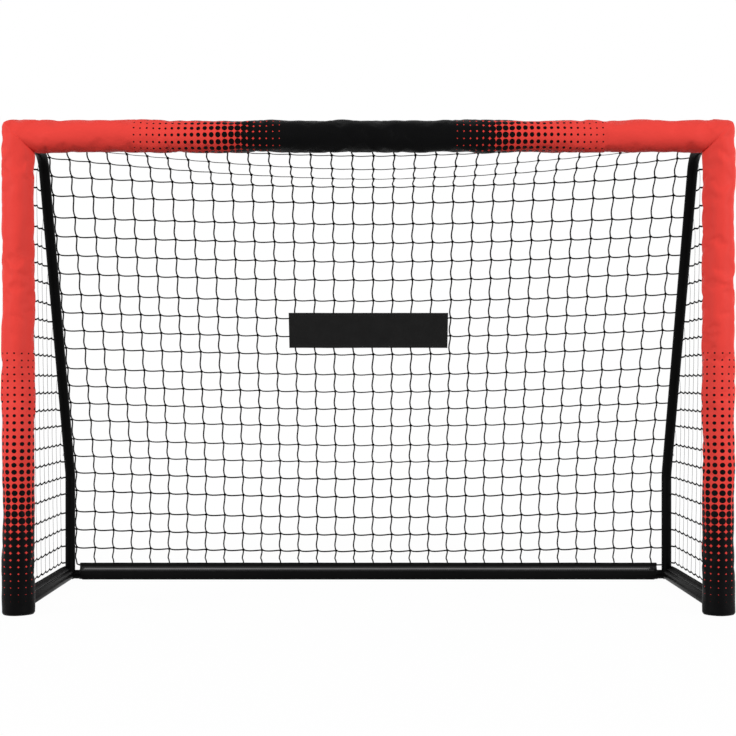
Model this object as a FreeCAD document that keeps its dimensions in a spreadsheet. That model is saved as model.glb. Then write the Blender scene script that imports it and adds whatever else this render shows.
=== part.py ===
# Padded garden goal: a plug-together steel tube frame, foam padding in fabric
# covers on the front frame, and a knotted net behind it.
# Millimetres. X runs along the crossbar, Y from the mouth to the back, Z up.
import FreeCAD, Part
import math
import os

import Sketcher
from FreeCAD import Rotation, Vector

doc = FreeCAD.newDocument("padded_goal")
sheet = doc.addObject("Spreadsheet::Sheet", "sizes")

DRIVING_SIZES = (
    ("outer_width", 1800, "over the padded posts"),
    ("outer_height", 1213, "ground to the top of the padded crossbar"),
    ("base_depth", 595, "post axis to the axis of the rear upright"),
    ("rail_reach", 257, "post axis to the corner of top rail and slope"),
    ("knee_height", 304, "height of the knee below the slope"),
    ("pad_width", 80, "outside diameter of the padding in its cover"),
    ("cover_sheet", 1.2, "cover fabric"),
    ("soft_gap", 0.3, "clearance of foam, fabric and netting"),
    ("side_tube", 28, "outside diameter of the side and ground tubes"),
    ("side_wall", 1.3, "wall of the side and ground tubes"),
    ("frame_wall", 1.4, "wall of the post and crossbar tubes"),
    ("fit_gap", 0.1, "radial clearance of a plug in its tube"),
    ("corner_leg", 130, "leg of the top corner, from its middle"),
    ("stop_reach", 20, "middle of the top corner to its stop bead"),
    ("stop_bead", 3, "width of a stop bead"),
    ("joiner_length", 160, "sleeve inside the two halves of the crossbar"),
    ("rail_plug", 70, "plug of the top corner in the rail"),
    ("plug_length", 50, "plug of the other side joints"),
    ("rail_bend", 70, "bend of the top rail, to the tube axis"),
    ("knee_bend", 60, "bend of the knee, to the tube axis"),
    ("knee_neck", 25, "straight tube between the knee and its joint"),
    ("foot_bend", 45, "bend of the foot elbow, to the tube axis"),
    ("foot_reach", 100, "post axis to the end of the foot elbow"),
    ("foot_rise", 190, "ground to the top of the foot elbow"),
    ("rear_neck", 13, "bare plug beside the rear ground bar"),
    ("rear_plug", 60, "plug inside the rear ground bar"),
    ("cap_sheet", 3, "head of an end cap"),
    ("cap_plug", 12, "plug of an end cap"),
    ("button_width", 7, "diameter of a snap button"),
    ("button_lift", 3.2, "snap button above the outer tube"),
    ("button_fit", 0.1, "radial clearance of a button in its holes"),
    ("button_flange", 9.4, "diameter of the flange below a button"),
    ("flange_sheet", 0.7, "thickness of that flange"),
    ("flange_depth", 1.9, "bore wall of the plug to the flange's underside"),
    ("rail_button", 50, "front end of the rail to its button"),
    ("plug_button", 25, "shoulder of a plug to its button"),
    ("leaf_width", 8, "width of a leaf spring"),
    ("leaf_sheet", 0.8, "thickness of a leaf spring"),
    ("leaf_toe", 6, "leaf spring past its button"),
    ("mesh", 53.75, "mesh of the net"),
    ("side_row_pitch", 47.7, "rows of the side nets"),
    ("column_inset", 14, "left tube axis to the first upright cord"),
    ("twine", 3, "thickness of a net cord"),
    ("seam_rope", 6, "rope along an edge of the net"),
    ("net_standoff", 4.5, "side tube to the net"),
    ("fold_facets", 3, "facets of the net around the bend of the rail"),
    ("hem_rise", 20, "top of the net's hem above the ground tubes"),
    ("hem_sheet", 1.2, "hem fabric"),
    ("hem_start", 52, "post axis to the front end of a side hem"),
    ("hem_setback", 22, "rear upright axis to the rear end of a side hem"),
    ("zip_tape", 14, "width of the zip in the rear hem"),
    ("tape_sheet", 0.8, "thickness of its tape"),
    ("zip_coil", 6, "width of its closed coil"),
    ("coil_rise", 1.6, "coil above the tape"),
    ("zip_middle", 7.5, "rear ground bar to the middle of the zip, along the hem"),
    ("zip_margin", 10, "end of the hem to the middle of the slider"),
    ("slider_length", 13, "zip slider, along the coil"),
    ("slider_wall", 1.6, "walls of the zip slider"),
    ("bail_length", 8, "bail on the zip slider, along the coil"),
    ("bail_width", 2.4, "bail, across the coil"),
    ("bail_room", 3, "free height below the bail"),
    ("pull_length", 18, "ring that pulls the slider"),
    ("pull_width", 12, "width of that ring"),
    ("pull_strip", 2, "width of the metal round its hole"),
    ("pull_sheet", 1.5, "thickness of that ring"),
    ("pull_lean", 4, "slope of the ring down to the coil"),
    ("closure_width", 25, "hook-and-loop strip behind a cover"),
    ("closure_sheet", 1.5, "thickness of that strip"),
    ("closure_margin", 40, "ends of the strip short of ground and corner"),
    ("patch_width", 442, "panel sewn to the back net"),
    ("patch_height", 103, "panel, along the slope"),
    ("patch_sheet", 1.5, "thickness of the panel"),
    ("patch_middle", 707, "height of the slope axis at the panel's middle"),
)

DERIVED_SIZES = (
    ("half_span", "(outer_width - pad_width) / 2", "middle to a post axis"),
    ("beam_height", "outer_height - pad_width / 2", "axis of the crossbar"),
    ("frame_tube", "side_tube + 2 * (fit_gap + frame_wall)", "post and crossbar tube"),
    ("plug_tube", "side_tube - 2 * (side_wall + fit_gap)", "outside of a swaged plug"),
    ("ground_axis", "side_tube / 2 + soft_gap + hem_sheet", "axis of the ground tubes"),
    ("button_travel", "side_tube / 2 + button_lift - plug_tube / 2", "stroke that frees a joint"),
    ("leaf_reach", "4.8 * button_travel", "button to the fold of its leaf spring"),
    ("slope_run", "base_depth - rail_reach", "depth of the slope"),
    ("slope_drop", "beam_height - knee_height", "height of the slope"),
    ("slope_angle", "atan(slope_run / slope_drop) / 1deg", "slope from the vertical"),
    ("rail_turn", "90 - slope_angle", "turn of the rail bend"),
    ("rail_tangent", "rail_bend * tan(rail_turn / 2 * 1deg)", "bend to its corner"),
    ("knee_tangent", "knee_bend * tan(slope_angle / 2 * 1deg)", "bend to its corner"),
    ("rail_start", "side_tube / 2 + stop_bead + 1", "post axis to the front of the rail"),
    ("net_inside", "side_tube / 2 + net_standoff", "tube axis to the net's inner face"),
    ("net_middle", "net_inside + twine", "tube axis to between the cords"),
    ("net_outside", "net_inside + 2 * twine", "tube axis to the net's outer face"),
    ("hem_top", "side_tube + hem_rise", "height of the hem's edge"),
    ("hem_room", "hem_top - ground_axis", "tube axis up to the hem's edge"),
    ("hem_lean", "(atan(hem_room / net_inside) + acos(ground_axis"
     " / sqrt(net_inside ^ 2 + hem_room ^ 2))) / 1deg - 90", "slope of the rear hem's face"),
    ("zip_reach", "half_span - side_tube / 2 - rear_neck - zip_margin", "middle to the slider"),
    ("slider_top", "tape_sheet + coil_rise + soft_gap + slider_wall", "slider above the hem"),
    ("front_line", "-(base_depth + net_outside - pad_width / 2) / 2", "Y of the post axis"),
)


def fill_sheet():
    """Write the driving sizes, and the sizes worked out from them, with their aliases."""
    rows = [(name, str(value), note) for name, value, note in DRIVING_SIZES]
    rows += [(name, "=" + formula, note) for name, formula, note in DERIVED_SIZES]
    for row, (name, content, note) in enumerate(rows, start=1):
        sheet.set(f"A{row}", name)
        sheet.set(f"B{row}", content)
        sheet.set(f"C{row}", note)
        sheet.setAlias(f"B{row}", name)
    doc.recompute()


fill_sheet()
finished = []


def size(formula):
    """Value of a formula of the sheet's sizes, as a plain number."""
    result = sheet.evalExpression(formula)
    return float(getattr(result, "Value", result))


def bound(formula):
    """The same formula as other objects write it, with the sheet's name before each size."""
    names = {row[0] for row in DRIVING_SIZES + DERIVED_SIZES}
    return "".join(f"sizes.{word}" if word in names else word for word in split_words(formula))


def split_words(formula):
    """Cut a formula into names and the signs between them."""
    words = [""]
    for letter in formula:
        part_of_name = letter.isalnum() or letter == "_"
        name_so_far = words[-1][-1:].isalnum() or words[-1][-1:] == "_"
        if part_of_name == name_so_far:
            words[-1] += letter
        else:
            words.append(letter)
    return words


def bind(thing, prop, formula):
    """Bind one property of an object to a formula of the sheet's sizes."""
    thing.setExpression(prop, bound(formula))


def place(thing, at, rotation=None):
    """Put an object at a point whose coordinates are formulas, turned by a rotation."""
    thing.Placement = FreeCAD.Placement(
        Vector(*[size(coordinate) for coordinate in at]), rotation or Rotation()
    )
    for axis, coordinate in zip("xyz", at):
        bind(thing, f"Placement.Base.{axis}", coordinate)


def finish(thing, label):
    """Name a sub-part and put it on the list of pieces to write."""
    thing.Label = label
    finished.append(thing)
    return thing


# Rotations that lay a piece's own Z axis along a direction of the goal
ALONG_X = Rotation(Vector(0, 1, 0), 90)
AGAINST_X = Rotation(Vector(0, 1, 0), -90) * Rotation(Vector(0, 0, 1), 180)
ALONG_Y = Rotation(Vector(1, 0, 0), -90)
AGAINST_Y = Rotation(Vector(1, 0, 0), 90)
ALONG_Z = Rotation()
HERE = ("0", "0", "0")


def inward(side):
    """Rotation that points a piece's Z axis from a side frame to the middle of the goal."""
    return ALONG_X if side < 0 else AGAINST_X


def outward(side):
    """Rotation that points a piece's Z axis away from the middle of the goal."""
    return AGAINST_X if side < 0 else ALONG_X


def rod(name, radius, length, at=HERE, rotation=ALONG_Z):
    """Solid cylinder whose radius, length and place are formulas."""
    piece = doc.addObject("Part::Cylinder", name)
    bind(piece, "Radius", radius)
    bind(piece, "Height", length)
    place(piece, at, rotation)
    return piece


def elbow(name, radius, bend, turn, at, rotation):
    """Solid bend: a sector of a torus that starts on its own X axis."""
    piece = doc.addObject("Part::Torus", name)
    bind(piece, "Radius1", bend)
    bind(piece, "Radius2", radius)
    bind(piece, "Angle3", turn)
    place(piece, at, rotation)
    return piece


def fuse(name, pieces):
    """Union of several objects."""
    union = doc.addObject("Part::MultiFuse", name)
    union.Shapes = pieces
    union.Refine = True
    return union


def cut(name, base, tool):
    """One object less another."""
    rest = doc.addObject("Part::Cut", name)
    rest.Base = base
    rest.Tool = tool
    return rest


def mitre_block(name, at, turn):
    """Block with one face on the mitre plane of a top corner, turned about Y by an angle."""
    block = doc.addObject("Part::Box", name)
    for prop in ("Length", "Width", "Height"):
        bind(block, prop, "4 * pad_width")
    reach_x = f"2 * pad_width * cos({turn} deg)"
    reach_z = f"2 * pad_width * sin({turn} deg)"
    base = (f"{at[0]} - {reach_x}", f"{at[1]} - 2 * pad_width", f"{at[2]} + {reach_z}")
    place(block, base, Rotation(Vector(0, 1, 0), turn))
    return block


def above_mitre(name, side, at):
    """Block on the crossbar's side of a mitre plane."""
    return mitre_block(name, at, -45 * side)


def below_mitre(name, side, at):
    """Block on the post's side of a mitre plane."""
    return mitre_block(name, at, 180 - 45 * side)


def origin_plane(body, role):
    """One of a body's own origin planes."""
    return next(plane for plane in body.Origin.OriginFeatures if plane.Role == role)


def new_sketch(body, name, role):
    """Sketch on one of a body's origin planes."""
    sketch = body.newObject("Sketcher::SketchObject", name)
    sketch.AttachmentSupport = [(origin_plane(body, role), "")]
    sketch.MapMode = "FlatFace"
    return sketch


def fix_coordinate(sketch, line, axis, formula):
    """Hold the start of a line at a formula's distance along one axis of its sketch."""
    if formula == "0":
        datum = -2 if axis == "X" else -1
        sketch.addConstraint(Sketcher.Constraint("PointOnObject", line, 1, datum))
        return
    constraint = Sketcher.Constraint(f"Distance{axis}", line, 1, size(formula))
    index = sketch.addConstraint(constraint)
    sketch.setExpression(f"Constraints[{index}]", bound(formula))


def draw_outline(sketch, corners):
    """Closed outline through corners whose two coordinates are formulas."""
    points = [Vector(size(across), size(up), 0) for across, up in corners]
    for start, end in zip(points, points[1:] + points[:1]):
        sketch.addGeometry(Part.LineSegment(start, end), False)
    for line in range(len(points)):
        following = (line + 1) % len(points)
        sketch.addConstraint(Sketcher.Constraint("Coincident", line, 2, following, 1))
    for line, (across, up) in enumerate(corners):
        fix_coordinate(sketch, line, "X", across)
        fix_coordinate(sketch, line, "Y", up)


def draw_ring(sketch, radii):
    """Circles about the sketch's origin, with radii that are formulas."""
    for circle, radius in enumerate(radii):
        sketch.addGeometry(Part.Circle(Vector(), Vector(0, 0, 1), size(radius)), False)
        sketch.addConstraint(Sketcher.Constraint("Coincident", circle, 3, -1, 1))
        index = sketch.addConstraint(Sketcher.Constraint("Radius", circle, size(radius)))
        sketch.setExpression(f"Constraints[{index}]", bound(radius))


def turned_piece(name, outline, at, rotation=ALONG_Z):
    """Body turned about its own Z axis from an outline of radii and heights."""
    body = doc.addObject("PartDesign::Body", name)
    sketch = new_sketch(body, name + "_profile", "XZ_Plane")
    draw_outline(sketch, outline)
    turned = body.newObject("PartDesign::Revolution", name + "_turned")
    turned.Profile = sketch
    turned.ReferenceAxis = (sketch, ["V_Axis"])
    turned.Angle = 360
    sketch.Visibility = False
    place(body, at, rotation)
    return finish(body, name)


def padded_body(name, role, draw, depth, at, rotation=ALONG_Z, midplane=False):
    """Body padded from one sketch that draw fills in, by a depth that is a formula."""
    body = doc.addObject("PartDesign::Body", name)
    sketch = new_sketch(body, name + "_profile", role)
    draw(sketch)
    pad = body.newObject("PartDesign::Pad", name + "_pad")
    pad.Profile = sketch
    bind(pad, "Length", depth)
    pad.Midplane = midplane
    sketch.Visibility = False
    place(body, at, rotation)
    return body


def padded_piece(name, *arguments, **options):
    """Padded body that is a sub-part of its own."""
    return finish(padded_body(name, *arguments, **options), name)


# Front frame: crossbar in two halves, posts, corners and foot elbows
FRAME_BORE = "frame_tube / 2 - frame_wall"
SIDE_BORE = "side_tube / 2 - side_wall"
PLUG_BORE = "plug_tube / 2 - side_wall"
HAND = {-1: "left", 1: "right"}


def make_crossbar_tubes():
    """Two plain halves that meet in the middle over an inner joiner."""
    radii = ("frame_tube / 2", FRAME_BORE)
    length = "half_span - stop_reach - stop_bead"
    middle = ("0", "front_line", "beam_height")
    for side, hand in HAND.items():
        padded_piece(
            f"crossbar_tube_{hand}", "XY_Plane", lambda sketch: draw_ring(sketch, radii),
            length, middle, outward(side),
        )
    joiner = ("side_tube / 2", SIDE_BORE)
    start = ("-joiner_length / 2", "front_line", "beam_height")
    padded_piece(
        "crossbar_joiner", "XY_Plane", lambda sketch: draw_ring(sketch, joiner),
        "joiner_length", start, ALONG_X,
    )


def make_post_tube(side, hand):
    """Plain tube between the stop beads of the foot elbow and of the top corner."""
    radii = ("frame_tube / 2", FRAME_BORE)
    bottom = "ground_axis + foot_bend + 2 * stop_bead"
    length = f"beam_height - stop_reach - stop_bead - ({bottom})"
    padded_piece(
        f"post_tube_{hand}", "XY_Plane", lambda sketch: draw_ring(sketch, radii),
        length, (f"{side} * half_span", "front_line", bottom),
    )


def mitred_rod(name, radius, side, leg):
    """Leg of a top corner, cut off on the mitre plane through the corner's middle."""
    length = f"corner_leg + {radius}"
    if leg == "crossbar":
        start = (f"{side} * ({radius})", "0", "0")
        blank = rod(name + "_blank", radius, length, start, inward(side))
        waste = below_mitre(name + "_waste", side, HERE)
    else:
        blank = rod(name + "_blank", radius, length, ("0", "0", "-corner_leg"))
        waste = above_mitre(name + "_waste", side, HERE)
    return cut(name, blank, waste)


def make_top_corner(side, hand):
    """Mitred corner with two legs, two stop beads and the rail's plug, welded together."""
    name = f"top_corner_{hand}"
    bead = "frame_tube / 2"
    skins = [
        mitred_rod(name + "_beam_leg", "side_tube / 2", side, "crossbar"),
        mitred_rod(name + "_post_leg", "side_tube / 2", side, "post"),
        rod(name + "_beam_bead", bead, "stop_bead",
            (f"{-side} * stop_reach", "0", "0"), inward(side)),
        rod(name + "_post_bead", bead, "stop_bead", ("0", "0", "-stop_reach - stop_bead")),
        rod(name + "_rail_bead", "side_tube / 2", "rail_start", HERE, ALONG_Y),
        rod(name + "_rail_plug", "plug_tube / 2", "rail_start + rail_plug", HERE, ALONG_Y),
    ]
    bores = [
        mitred_rod(name + "_beam_bore", SIDE_BORE, side, "crossbar"),
        mitred_rod(name + "_post_bore", SIDE_BORE, side, "post"),
        rod(name + "_rail_bore", PLUG_BORE, "rail_start + rail_plug + 1", HERE, ALONG_Y),
        button_hole(name + "_button_hole", "0", "rail_start + rail_button", "0", inward(side)),
    ]
    corner = cut(name, fuse(name + "_skins", skins), fuse(name + "_bores", bores))
    place(corner, (f"{side} * half_span", "front_line", "beam_height"))
    finish(corner, name)


def button_hole(name, across, depth, height, rotation):
    """Hole for a snap button, from a tube's axis out through its wall."""
    return rod(name, "button_width / 2 + button_fit", "side_tube", (across, depth, height), rotation)


FOOT_START = Rotation(Vector(0, -1, 0), Vector(0, 0, -1), Vector(1, 0, 0), "ZXY")


def foot_run(name, radius, top, reach):
    """Solid along the foot elbow's axis: down the post, round the bend and back."""
    turn_height = "ground_axis + foot_bend"
    return fuse(name, [
        rod(name + "_upright", radius, f"{top} - ({turn_height})", ("0", "0", turn_height)),
        elbow(name + "_bend", radius, "foot_bend", "90", ("0", "foot_bend", turn_height), FOOT_START),
        rod(name + "_back", radius, f"{reach} - foot_bend", ("0", "foot_bend", "ground_axis"), ALONG_Y),
    ])


def make_foot_elbow(side, hand):
    """Bent tube from the post to the side ground tube, with a stop bead under the post."""
    name = f"foot_elbow_{hand}"
    bead = rod(name + "_bead", "frame_tube / 2", "stop_bead", ("0", "0", "ground_axis + foot_bend + stop_bead"))
    skin = fuse(name + "_skin", [foot_run(name + "_run", "side_tube / 2", "foot_rise", "foot_reach"), bead])
    bores = fuse(name + "_bores", [
        foot_run(name + "_bore", SIDE_BORE, "foot_rise", "foot_reach"),
        button_hole(name + "_button_hole", "0", "foot_reach - plug_button", "ground_axis", inward(side)),
    ])
    foot = cut(name, skin, bores)
    place(foot, (f"{side} * half_span", "front_line", "0"))
    finish(foot, name)


# Side frames: bent rail and slope above, welded base below, in depth and height
RAIL_BEND_START = Rotation(Vector(0, 1, 0), -90)
KNEE_START = Rotation(Vector(1, 1, 1), 120)


def slope_rotation():
    """Rotation that points a piece's Z axis up the slope."""
    return Rotation(Vector(1, 0, 0), size("slope_angle"))


def rail_run(name, radius):
    """Solid along the axis of the top rail, its bend and the slope."""
    bend_depth = "rail_reach - rail_tangent"
    slope_start = (
        "0",
        f"{bend_depth} + rail_bend * sin(rail_turn * 1deg)",
        "beam_height - rail_bend + rail_bend * cos(rail_turn * 1deg)",
    )
    slope_length = "slope_drop / cos(slope_angle * 1deg) - rail_tangent - knee_tangent - knee_neck"
    slope = rod(name + "_slope", radius, slope_length, slope_start,
                Rotation(Vector(-1, 0, 0), size("90 + rail_turn")))
    slope.setExpression("Placement.Rotation.Angle", bound("(90 + rail_turn) * 1deg"))
    return fuse(name, [
        rod(name + "_rail", radius, f"{bend_depth} - rail_start",
            ("0", "rail_start", "beam_height"), ALONG_Y),
        elbow(name + "_bend", radius, "rail_bend", "rail_turn",
              ("0", bend_depth, "beam_height - rail_bend"), RAIL_BEND_START),
        slope,
    ])


def on_knee_leg(distance):
    """Depth and height of a point up the slope from the end of the knee's bend."""
    run = f"(knee_tangent + {distance})"
    return (
        f"base_depth - {run} * sin(slope_angle * 1deg)",
        f"knee_height + {run} * cos(slope_angle * 1deg)",
    )


def make_side_tube(side, hand):
    """Top rail, bend and slope in one tube, with a button hole at each end."""
    name = f"side_tube_{hand}"
    depth, height = on_knee_leg("knee_neck + plug_button")
    bores = fuse(name + "_bores", [
        rail_run(name + "_bore", SIDE_BORE),
        button_hole(name + "_rail_hole", "0", "rail_start + rail_button", "beam_height", inward(side)),
        button_hole(name + "_knee_hole", "0", depth, height, outward(side)),
    ])
    tube = cut(name, rail_run(name + "_skin", "side_tube / 2"), bores)
    place(tube, (f"{side} * half_span", "front_line", "0"))
    finish(tube, name)


def slope_rod(name, radius, start, length):
    """Cylinder that starts up the slope from the knee and points up the slope."""
    depth, height = on_knee_leg(start)
    piece = rod(name, radius, length, ("0", depth, height), slope_rotation())
    piece.setExpression("Placement.Rotation.Angle", bound("slope_angle * 1deg"))
    return piece


def make_side_base(side, hand):
    """Knee, upright, ground tube and the rear bar's plug, welded together."""
    name = f"side_base_{hand}"
    rear_end = "base_depth + side_tube / 2"
    knee_start = "knee_height - knee_tangent"
    upright = f"{knee_start} - ground_axis"
    knee_centre = ("0", "base_depth - knee_bend", knee_start)
    foot = ("0", "base_depth", "ground_axis")
    ground = ("0", rear_end, "ground_axis")
    plug_reach = "side_tube / 2 + rear_neck + rear_plug"
    skins = [
        rod(name + "_upright", "side_tube / 2", upright, foot),
        elbow(name + "_knee", "side_tube / 2", "knee_bend", "slope_angle", knee_centre, KNEE_START),
        slope_rod(name + "_neck", "side_tube / 2", "0", "knee_neck"),
        slope_rod(name + "_knee_plug", "plug_tube / 2", "knee_neck / 2", "knee_neck / 2 + plug_length"),
        rod(name + "_ground", "side_tube / 2", f"{rear_end} - foot_reach", ground, AGAINST_Y),
        rod(name + "_ground_plug", "plug_tube / 2", "plug_length + side_tube",
            ("0", "foot_reach + side_tube", "ground_axis"), AGAINST_Y),
        rod(name + "_rear_plug", "plug_tube / 2", plug_reach, foot, inward(side)),
    ]
    depth, height = on_knee_leg("knee_neck + plug_button")
    bores = [
        rod(name + "_upright_bore", SIDE_BORE, upright, foot),
        elbow(name + "_knee_bore", SIDE_BORE, "knee_bend", "slope_angle", knee_centre, KNEE_START),
        slope_rod(name + "_neck_bore", SIDE_BORE, "0", "knee_neck / 2"),
        slope_rod(name + "_plug_bore", PLUG_BORE, "0", "knee_neck + plug_length + 1"),
        rod(name + "_ground_bore", SIDE_BORE, f"{rear_end} - foot_reach - side_tube / 2", ground, AGAINST_Y),
        rod(name + "_front_bore", PLUG_BORE, f"{rear_end} - foot_reach + plug_length + 1", ground, AGAINST_Y),
        rod(name + "_rear_bore", PLUG_BORE, plug_reach + " + 1", foot, inward(side)),
        button_hole(name + "_knee_hole", "0", depth, height, outward(side)),
        button_hole(name + "_foot_hole", "0", "foot_reach - plug_button", "ground_axis", inward(side)),
    ]
    base = cut(name, fuse(name + "_skins", skins), fuse(name + "_bores", bores))
    place(base, (f"{side} * half_span", "front_line", "0"))
    finish(base, name)


def make_rear_bar():
    """Two halves of the rear ground bar: the left one ends in a plug inside the right one."""
    outer, bore = "side_tube / 2", SIDE_BORE
    length = "half_span - side_tube / 2 - rear_neck"
    swage = "side_wall"
    plain = [(bore, "0"), (outer, "0"), (outer, length), (bore, length)]
    swaged = [
        (bore, "0"), (outer, "0"), (outer, length),
        ("plug_tube / 2", length), ("plug_tube / 2", f"{length} + plug_length"),
        (PLUG_BORE, f"{length} + plug_length"), (PLUG_BORE, f"{length} - {swage}"),
        (bore, f"{length} - 2 * {swage}"),
    ]
    for side, hand in HAND.items():
        start = (f"{side} * ({length})", "front_line + base_depth", "ground_axis")
        turned_piece(f"rear_bar_{hand}", swaged if side < 0 else plain, start, inward(side))


def make_end_cap(side, hand):
    """Plastic cap in the open rear end of the side ground tube."""
    plug = "side_tube / 2 - side_wall - fit_gap"
    outline = [
        ("0", "-cap_plug"), (plug, "-cap_plug"), (plug, "0"), ("side_tube / 2", "0"),
        ("side_tube / 2", "cap_sheet / 3"), ("side_tube / 2 - cap_sheet", "cap_sheet"), ("0", "cap_sheet"),
    ]
    rear = "front_line + base_depth + side_tube / 2"
    turned_piece(f"end_cap_{hand}", outline, (f"{side} * half_span", rear, "ground_axis"), ALONG_Y)


# Snap buttons, each on its leaf spring, at three joints of each side frame
def button_outline():
    """Flange, shank and rounded head of a snap button, from the tube's axis outwards."""
    seat = f"{PLUG_BORE} - flange_depth"
    top = "side_tube / 2 + button_lift"
    return [
        ("0", seat), ("button_flange / 2", seat),
        ("button_flange / 2", f"{seat} + flange_sheet"), ("button_width / 2", f"{seat} + flange_sheet"),
        ("button_width / 2", f"{top} - button_width / 4"),
        ("button_width * 0.42", f"{top} - button_width / 10"),
        ("button_width / 4", top), ("0", top),
    ]


def draw_leaf(sketch):
    """V of spring strip: one arm under the button, the other on the far wall of the plug."""
    seat = f"{PLUG_BORE} - flange_depth"
    far = "(soft_gap - sqrt((plug_tube / 2 - side_wall) ^ 2 - (leaf_width / 2) ^ 2))"
    draw_outline(sketch, [
        ("leaf_toe", f"{seat} - leaf_sheet"), ("leaf_toe", seat), ("-leaf_toe", seat),
        ("-leaf_reach", "leaf_sheet"), ("-leaf_reach", "-leaf_sheet"),
        ("-leaf_toe", far), ("leaf_toe", far), ("leaf_toe", f"{far} + leaf_sheet"),
        ("-leaf_toe", f"{far} + leaf_sheet"), ("-leaf_reach + 2 * leaf_sheet", "0"),
        ("-leaf_toe", f"{seat} - leaf_sheet"),
    ])


def make_snap_joint(name, side, spot, facing, along):
    """Button and leaf spring at a spot on a side frame's axis, facing in or out.

    along is the way from the fold of the spring to its button.
    """
    place_at = (f"{side} * half_span", f"front_line + {spot[0]}", spot[1])
    outwards = Vector(side if facing == "out" else -side, 0, 0)
    across = along.cross(outwards)
    turn = Rotation(across, along, outwards, "ZXY")
    turned_piece(f"snap_button_{name}", button_outline(), place_at, turn)
    padded_piece(
        f"leaf_spring_{name}", "YZ_Plane", draw_leaf, "leaf_width", place_at, turn, midplane=True
    )


def make_snap_joints(side, hand):
    """The three snap joints of one side frame."""
    slope = math.radians(size("slope_angle"))
    up_slope = Vector(0, -math.sin(slope), math.cos(slope))
    make_snap_joint(f"rail_{hand}", side, ("rail_start + rail_button", "beam_height"), "in", Vector(0, 1, 0))
    make_snap_joint(f"knee_{hand}", side, on_knee_leg("knee_neck + plug_button"), "out", up_slope)
    make_snap_joint(f"foot_{hand}", side, ("foot_reach - plug_button", "ground_axis"), "in", Vector(0, -1, 0))


# Padding of the front frame: foam tubes inside fabric covers, mitred at the top corners
def corner_point(side):
    """Middle of a top corner."""
    return (f"{side} * half_span", "front_line", "beam_height")


def rail_hole(name, side):
    """Opening in the padding behind a top corner, for the rail."""
    return rod(name, "side_tube / 2 + soft_gap", "pad_width", corner_point(side), ALONG_Y)


def make_crossbar_foam(side, hand):
    """Half of the crossbar's foam tube, mitred at the corner and square in the middle."""
    name = f"crossbar_foam_{hand}"
    length = "half_span + pad_width / 2"
    middle = ("0", "front_line", "beam_height")
    skin = rod(name + "_skin", "pad_width / 2 - cover_sheet - soft_gap", length, middle, outward(side))
    waste = fuse(name + "_waste", [
        rod(name + "_bore", "frame_tube / 2 + soft_gap", length, middle, outward(side)),
        below_mitre(name + "_mitre", side, corner_point(side)),
        rail_hole(name + "_rail_hole", side),
    ])
    finish(cut(name, skin, waste), name)


def foot_clearance(name, side):
    """Room in the padding for the foot elbow."""
    run = foot_run(name, "side_tube / 2 + soft_gap", "foot_rise", "foot_reach")
    place(run, (f"{side} * half_span", "front_line", "0"))
    return run


def make_post_foam(side, hand):
    """Foam tube of a post, mitred at the top and relieved for the foot elbow."""
    name = f"post_foam_{hand}"
    foot = (f"{side} * half_span", "front_line", "soft_gap")
    skin = rod(name + "_skin", "pad_width / 2 - cover_sheet - soft_gap", "outer_height", foot)
    waste = fuse(name + "_waste", [
        rod(name + "_bore", "frame_tube / 2 + soft_gap", "outer_height",
            (foot[0], foot[1], "ground_axis + foot_bend")),
        above_mitre(name + "_mitre", side, corner_point(side)),
        rail_hole(name + "_rail_hole", side),
        foot_clearance(name + "_foot", side),
    ])
    finish(cut(name, skin, waste), name)


def make_post_cover(side, hand):
    """Fabric cover of a post, with a slot behind its foot."""
    name = f"post_cover_{hand}"
    foot = (f"{side} * half_span", "front_line", "0")
    skin = rod(name + "_skin", "pad_width / 2", "outer_height", foot)
    waste = fuse(name + "_waste", [
        rod(name + "_bore", "pad_width / 2 - cover_sheet", "outer_height", foot),
        above_mitre(name + "_mitre", side, corner_point(side)),
        rail_hole(name + "_rail_hole", side),
        foot_clearance(name + "_foot", side),
    ])
    finish(cut(name, skin, waste), name)


def make_crossbar_cover():
    """Fabric cover of the crossbar, mitred at both ends."""
    name = "crossbar_cover"
    start = ("-half_span - pad_width / 2", "front_line", "beam_height")
    length = "2 * half_span + pad_width"
    skin = rod(name + "_skin", "pad_width / 2", length, start, ALONG_X)
    waste = [rod(name + "_bore", "pad_width / 2 - cover_sheet", length, start, ALONG_X)]
    for side, hand in HAND.items():
        waste.append(below_mitre(f"{name}_mitre_{hand}", side, corner_point(side)))
        waste.append(rail_hole(f"{name}_rail_hole_{hand}", side))
    finish(cut(name, skin, fuse(name + "_waste", waste)), name)


# Soft goods below are plain solids worked out in code from the same sizes
def soft_piece(label, shape):
    """Sub-part from a worked-out shape, in the goal's own place."""
    piece = doc.addObject("Part::Feature", label)
    piece.Shape = shape
    piece.Placement = FreeCAD.Placement(Vector(0, size("front_line"), 0), Rotation())
    return finish(piece, label)


def prism(points, push):
    """Solid pushed out of a closed outline by a vector."""
    return Part.Face(Part.makePolygon(points + points[:1])).extrude(push)


def closure_strip(radius, sheet_thickness, width):
    """Outline of a strip that lies on a round cover, about the net's edge, as (across, back) points."""
    middle = math.asin(size("net_inside + twine / 2") / radius)
    half = width / 2 / radius
    steps = 4
    angles = [middle + half * (2 * step / steps - 1) for step in range(steps + 1)]
    inner = [(radius * math.sin(a), radius * math.cos(a)) for a in angles]
    outer_radius = radius + sheet_thickness
    outer = [(outer_radius * math.sin(a), outer_radius * math.cos(a)) for a in reversed(angles)]
    return inner, outer


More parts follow.
